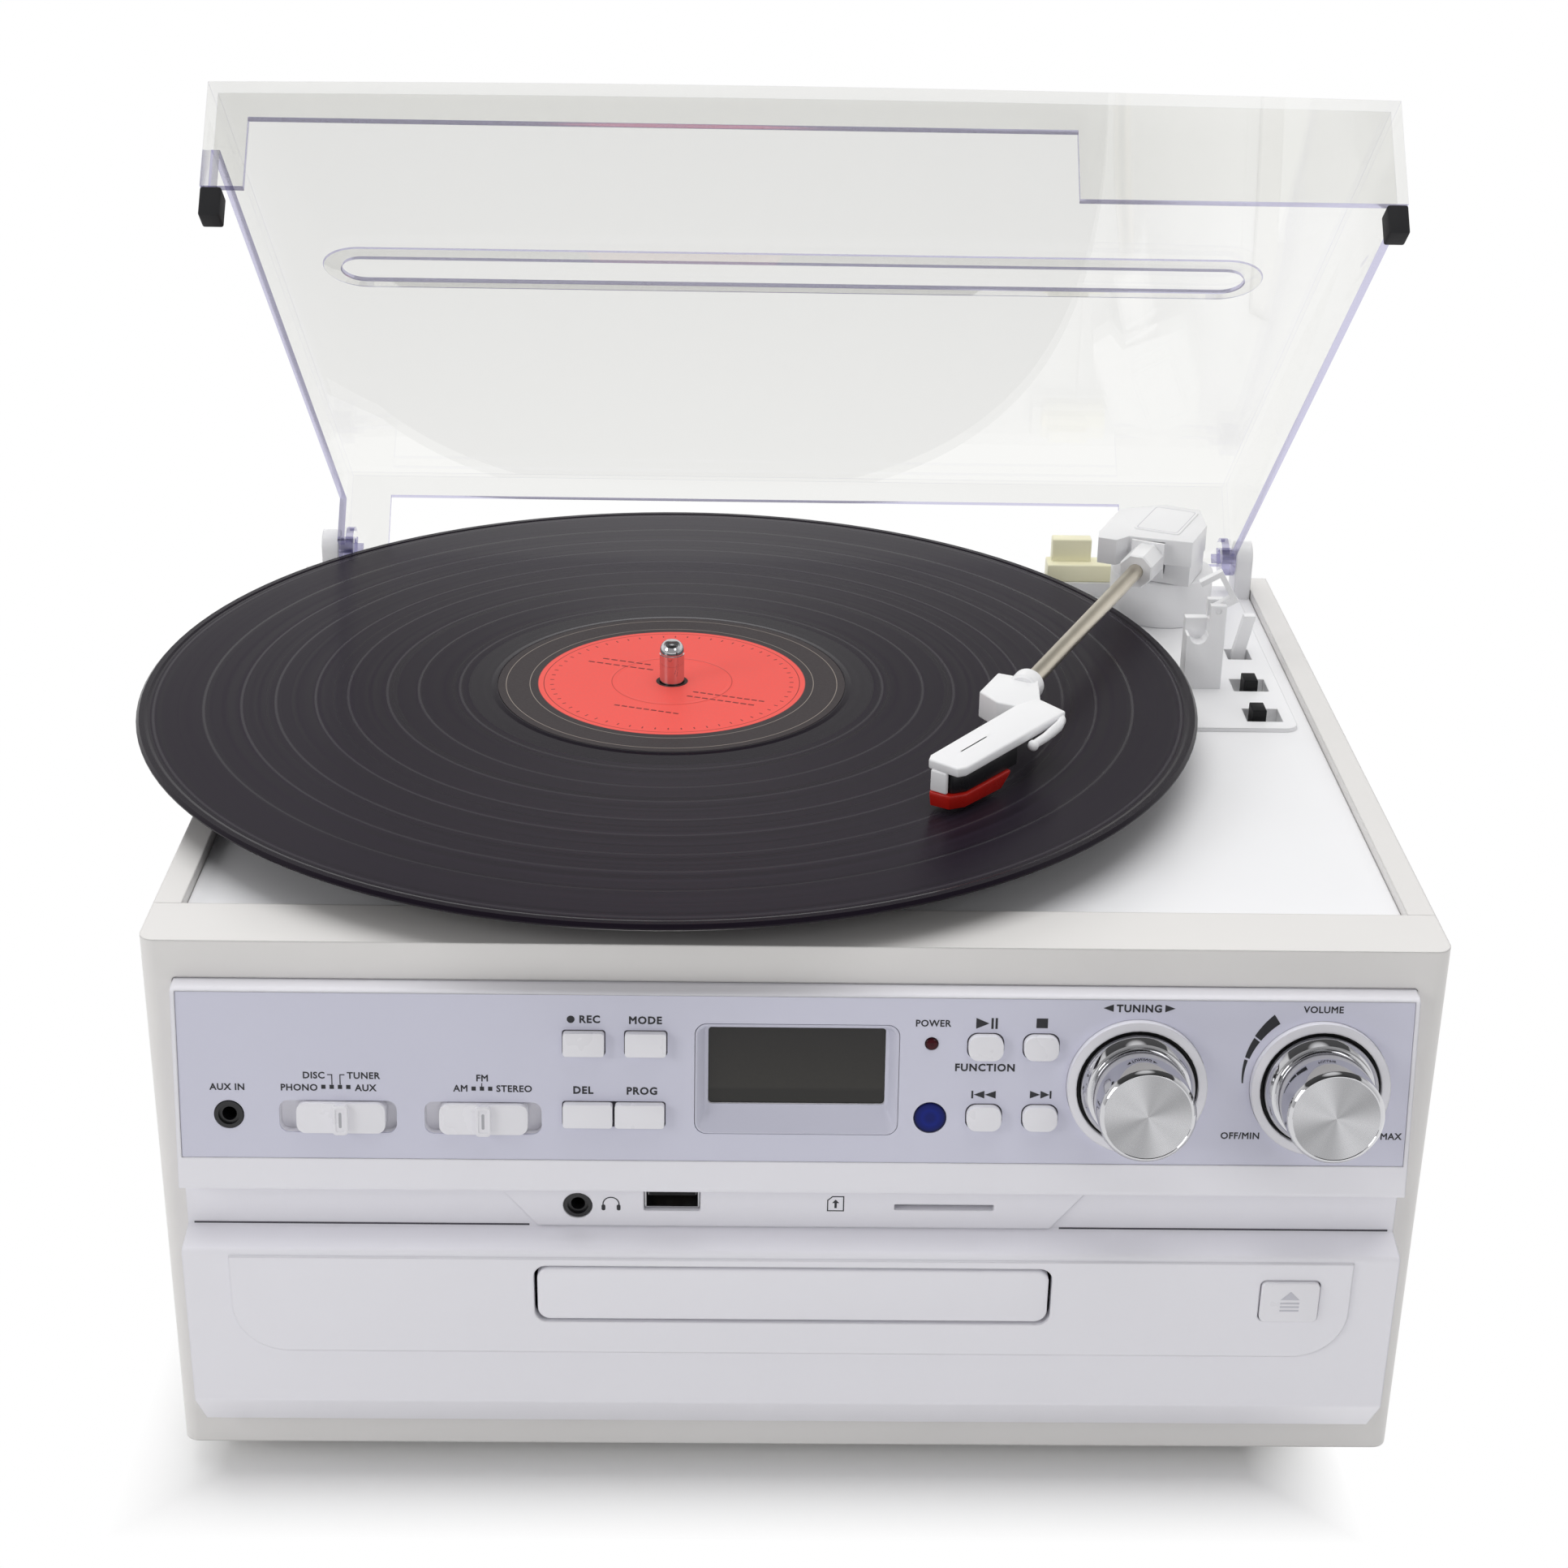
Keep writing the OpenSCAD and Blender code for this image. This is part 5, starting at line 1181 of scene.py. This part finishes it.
class MUSIC_OT_prints(Piece):
    """Dark signs and words on the plate, the port strip and the eject button"""

    bl_idname = "music.prints"
    bl_label = "Prints"

    def make(self, context):
        self.words(SET("control").letter)
        mesh = to_mesh(self.signs(), PANEL @ UPRIGHT)
        put("plate_signs", mesh, "print", "case", smooth=0)
        self.dots()
        self.port_signs()
        self.eject_sign()

    def words(self, tall):
        """Words for the controls, the more important ones larger and bolder."""
        words = bmesh.new()
        for text, x, s, align in (
            ("REC", -53.2, 7.95, "LEFT"), ("MODE", -37.1, 8.1, "CENTER"), ("DEL", -52.3, 26.4, "CENTER"),
            ("PROG", -37.9, 26.5, "CENTER"), ("DISC", -115.2, 23.0, "RIGHT"), ("PHONO", -117.0, 26.2, "RIGHT"),
            ("TUNER", -109.8, 23.0, "LEFT"), ("AUX", -107.9, 26.2, "LEFT"), ("FM", -76.9, 23.4, "CENTER"),
            ("AM", -80.4, 26.1, "RIGHT"), ("STEREO", -73.5, 26.1, "LEFT"), ("AUX IN", -139.0, 26.2, "CENTER"),
            ("POWER", 33.0, 8.1, "CENTER"), ("FUNCTION", 46.0, 19.6, "CENTER"), ("TUNING", 83.2, 3.9, "CENTER"),
            ("VOLUME", 128.3, 3.7, "CENTER"), ("OFF/MIN", 109.7, 36.9, "CENTER"), ("MAX", 147.1, 36.8, "CENTER"),
        ):
            bold = text in ("REC", "MODE", "DEL", "PROG", "FUNCTION", "TUNING")
            height, spacing, weight = (tall, 1.14, 0.09) if bold else (tall * 0.9, 1.08, 0.06)
            lettering(words, text, x, s, height, align, spacing, weight)
        mesh = to_mesh(words, PANEL @ UPRIGHT @ moved(0, 0, -0.21))
        put("plate_words", mesh, "print", "case", smooth=0)

    def signs(self):
        """Transport signs, arrows, guide lines of the slider and the wedge scale of the volume knob."""
        bm = bmesh.new()

        def shape(*points):
            slab(bm, [(x, -s) for x, s in points], -0.22, -0.15)

        def box(x0, s0, x1, s1):
            shape((x0, s1), (x1, s1), (x1, s0), (x0, s0))

        def wedge(x0, x1, s0, s1):
            """Triangle from its flat side at x0 to its point at x1."""
            mid = (s0 + s1) / 2
            shape(*((x0, s1), (x1, mid), (x0, s0)) if x1 > x0 else ((x0, s0), (x1, mid), (x0, s1)))

        shape(*[(-55.2 + 0.95 * cos(a), 7.1 - 0.95 * sin(a)) for a in angles(24)])
        wedge(43.5, 46.7, 5.8, 8.6)
        for x in (47.2, 48.2):
            box(x, 5.8, x + 0.55, 8.6)
        box(58.2, 5.8, 61.0, 8.3)
        box(42.9, 24.8, 43.35, 26.8)
        wedge(46.1, 43.5, 24.8, 26.8)
        wedge(48.9, 46.2, 24.8, 26.8)
        wedge(57.3, 59.8, 24.7, 26.7)
        wedge(59.9, 62.1, 24.7, 26.7)
        box(62.15, 24.7, 62.6, 26.7)
        wedge(76.9, 74.4, 2.0, 3.9)
        wedge(89.5, 92.0, 2.0, 3.9)
        for x, end in ((-113.5, -114.6), (-111.5, -110.4)):
            box(x - 0.12, 21.9, x + 0.12, 24.6)
            box(min(x, end), 21.9, max(x, end), 22.14)
        box(-77.1, 23.9, -76.9, 24.8)
        for first, last, inner, outer in (
            (2.7, 20.8, (18.9, 19.3), (19.25, 20.2)),
            (22.3, 37.3, (19.1, 19.3), (20.3, 21.1)),
            (38.5, 57.2, (19.3, 19.6), (21.3, 22.4)),
        ):
            edge = []
            for (r0, r1), order in ((outer, range(9)), (inner, range(8, -1, -1))):
                for k in order:
                    a, r = radians(first + (last - first) * k / 8), r0 + (r1 - r0) * k / 8
                    edge.append((128.5 - r * cos(a), 23.1 - r * sin(a)))
            shape(*edge[::-1])
        return bm

    def dots(self):
        """Squares that show where each slider can stop."""
        tree = marks_tree()
        for name, count, x, s in (("function_dots", 4, -115.6, 25.2), ("band_dots", 3, -79.0, 25.35)):
            place = on_panel(x, s) @ UPRIGHT @ moved(0, 0, -0.18)
            dots = grown(tree, "print", place, Count=count, Pitch=2.02, Mark_size=(1.05, 1.05, 0.06))
            put(name, dots, None, "case", smooth=0)

    def port_signs(self):
        """Generic signs of headphones and of a card beside their sockets."""
        low, high = 7.38, 7.44
        bm = bmesh.new()
        band = [radians(-25 + 230 * k / 20) for k in range(21)]
        sides = ((2.15, band), (1.85, band[::-1]))
        arc = [(-45.9 + r * cos(a), 88.3 + r * sin(a)) for r, row in sides for a in row]
        slab(bm, arc, low, high)
        for side in (-1, 1):
            slab(bm, [(-45.9 + side * 1.9 + u, 87.3 + v) for u, v in rounded(0.95, 1.7, 0.4, 4)], low, 7.45)
        card = [(8.4, 86.8), (12.4, 86.8), (12.4, 91.0), (9.6, 91.0), (8.4, 89.9)]
        for start, end in zip(card, card[1:] + card[:1]):
            along = (Vector(end) - Vector(start)).normalized() * 0.14
            across = Vector((-along.y, along.x))
            start, end = Vector(start), Vector(end)
            slab(bm, [start - across - along, end - across + along, end + across, start + across], low, high)
        arrow = [(10.1, 89.1), (10.1, 87.6), (10.7, 87.6), (10.7, 89.1), (11.3, 89.1), (10.4, 90.1), (9.5, 89.1)]
        slab(bm, arrow, low, high)
        put("port_signs", to_mesh(bm, CASE @ UPRIGHT), "print", "case", smooth=0)

    def eject_sign(self):
        """Triangle over three bars."""
        bm = bmesh.new()
        left, right, front, face = 122.5, 127.3, 17.98, 18.06
        slab(bm, [(left, 68.3), (right, 68.3), (124.9, 70.8)], front, face)
        for z in (67.0, 65.9, 64.8):
            block(bm, left, z, right, z + 0.5, front, face)
        put("eject_sign", to_mesh(bm, CASE @ UPRIGHT), "pale_print", "eject_key", smooth=0)


class MUSIC_OT_insides(Piece):
    """Disc drive, boards, speakers, transformer and the sockets at the back"""

    bl_idname = "music.insides"
    bl_label = "Insides and back"

    def make(self, context):
        dress("dark_plastic", "disc_tray", "disc_mechanism")
        dress("cone", "speakers")
        dress("steel", "transformer", "rotary_controls")
        dress("brass", "line_outputs")
        dress("matt_black", "mains_inlet")
        dress("board", "circuit_boards")


class MUSIC_OT_lid(Piece):
    """Clear lid with its groove, and the two bumpers"""

    bl_idname = "music.lid"
    bl_label = "Lid"

    def make(self, context):
        sizes = SET("lid")
        mesh = bevelled(self.arched(merged("lid"), sizes.arch), sizes.rounding, angle=40)
        self.tint_edges(mesh)
        put("lid_shell", mesh, ["lid", "lid_edge"], "cover", "lid", 35)
        self.groove(sizes)
        refined("lid_bumpers", "rubber", 0.6)

    def arched(self, mesh, drop):
        """The lid's top falls a little towards its two sides."""
        half, wall_top, front = 147, 20, -12
        bm = joined(mesh)
        bm.transform(LID.inverted())
        for x in range(-130, 131, 20):
            everything = bm.verts[:] + bm.edges[:] + bm.faces[:]
            bmesh.ops.bisect_plane(bm, geom=everything, plane_co=(x, 0, 0), plane_no=(1, 0, 0), dist=1e-4)
        for vert in bm.verts:
            if vert.co.z > wall_top and vert.co.y < front:
                vert.co.z -= drop * (vert.co.x / half) ** 2 * (vert.co.z - wall_top) / 8
        return to_mesh(bm, LID, outward=False)

    def tint_edges(self, mesh):
        """Faces as narrow as the sheet is thick show the colour of its cut edge."""
        sheet = 0.0024
        bm = joined(mesh)
        for face in bm.faces:
            width = 2 * face.calc_area() / max(face.calc_perimeter(), 1e-9)
            face.material_index = 1 if width < sheet else 0
        bm.to_mesh(mesh)
        bm.free()

    def groove(self, sizes):
        """Long rounded rib on the inner face of the lid, with sloping sides."""
        length, half, rings = 263, sizes.groove_half, []
        for inset, z in ((0, 25.7), (0.35, 25.3), (5.0, 24.6), (5.35, 24.8), (5.35, 25.7)):
            h = half - inset
            rings.append([(u - 1.3, v - 145, z) for u, v in rounded(length - 2 * inset, 2 * h, h * 0.999, 12)])
        mesh = to_mesh(closed(rings, [1, 0, 1, 1, 0]), LID)
        put("lid_groove", mesh, ["lid", "lid_edge"], "cover", smooth=30)


class MUSIC_PT_panel(bpy.types.Panel):
    """Every piece of the music centre, in the order they are made"""

    bl_idname = "MUSIC_PT_panel"
    bl_label = "Music centre"
    bl_space_type = "VIEW_3D"
    bl_region_type = "UI"
    bl_category = "Music centre"

    def draw(self, context):
        for piece in PIECES:
            self.layout.operator(piece.bl_idname)
        for part in GROUPS:
            box = self.layout.box()
            box.label(text=part.title())
            settings = getattr(context.scene, "music_" + part)
            for key in settings.__annotations__:
                box.prop(settings, key)


GROUPS = {
    "stage": StageSettings,
    "case": CaseSettings,
    "turntable": TurntableSettings,
    "arm": ArmSettings,
    "control": ControlSettings,
    "lid": LidSettings,
}
PIECES = (
    MUSIC_OT_stage,
    MUSIC_OT_case,
    MUSIC_OT_turntable,
    MUSIC_OT_arm,
    MUSIC_OT_front,
    MUSIC_OT_buttons,
    MUSIC_OT_knobs,
    MUSIC_OT_prints,
    MUSIC_OT_insides,
    MUSIC_OT_lid,
)


def register():
    for item in (*GROUPS.values(), *PIECES, MUSIC_PT_panel):
        bpy.utils.register_class(item)
    for part, settings in GROUPS.items():
        setattr(bpy.types.Scene, "music_" + part, PointerProperty(type=settings))


def unregister():
    for part in GROUPS:
        delattr(bpy.types.Scene, "music_" + part)
    for item in (MUSIC_PT_panel, *reversed(PIECES), *reversed(GROUPS.values())):
        bpy.utils.unregister_class(item)


def main():
    register()
    bpy.context.scene.view_settings.view_transform = "Standard"
    for piece in PIECES:
        group, name = piece.bl_idname.split(".")
        getattr(getattr(bpy.ops, group), name)()


if __name__ == "__main__":
    main()
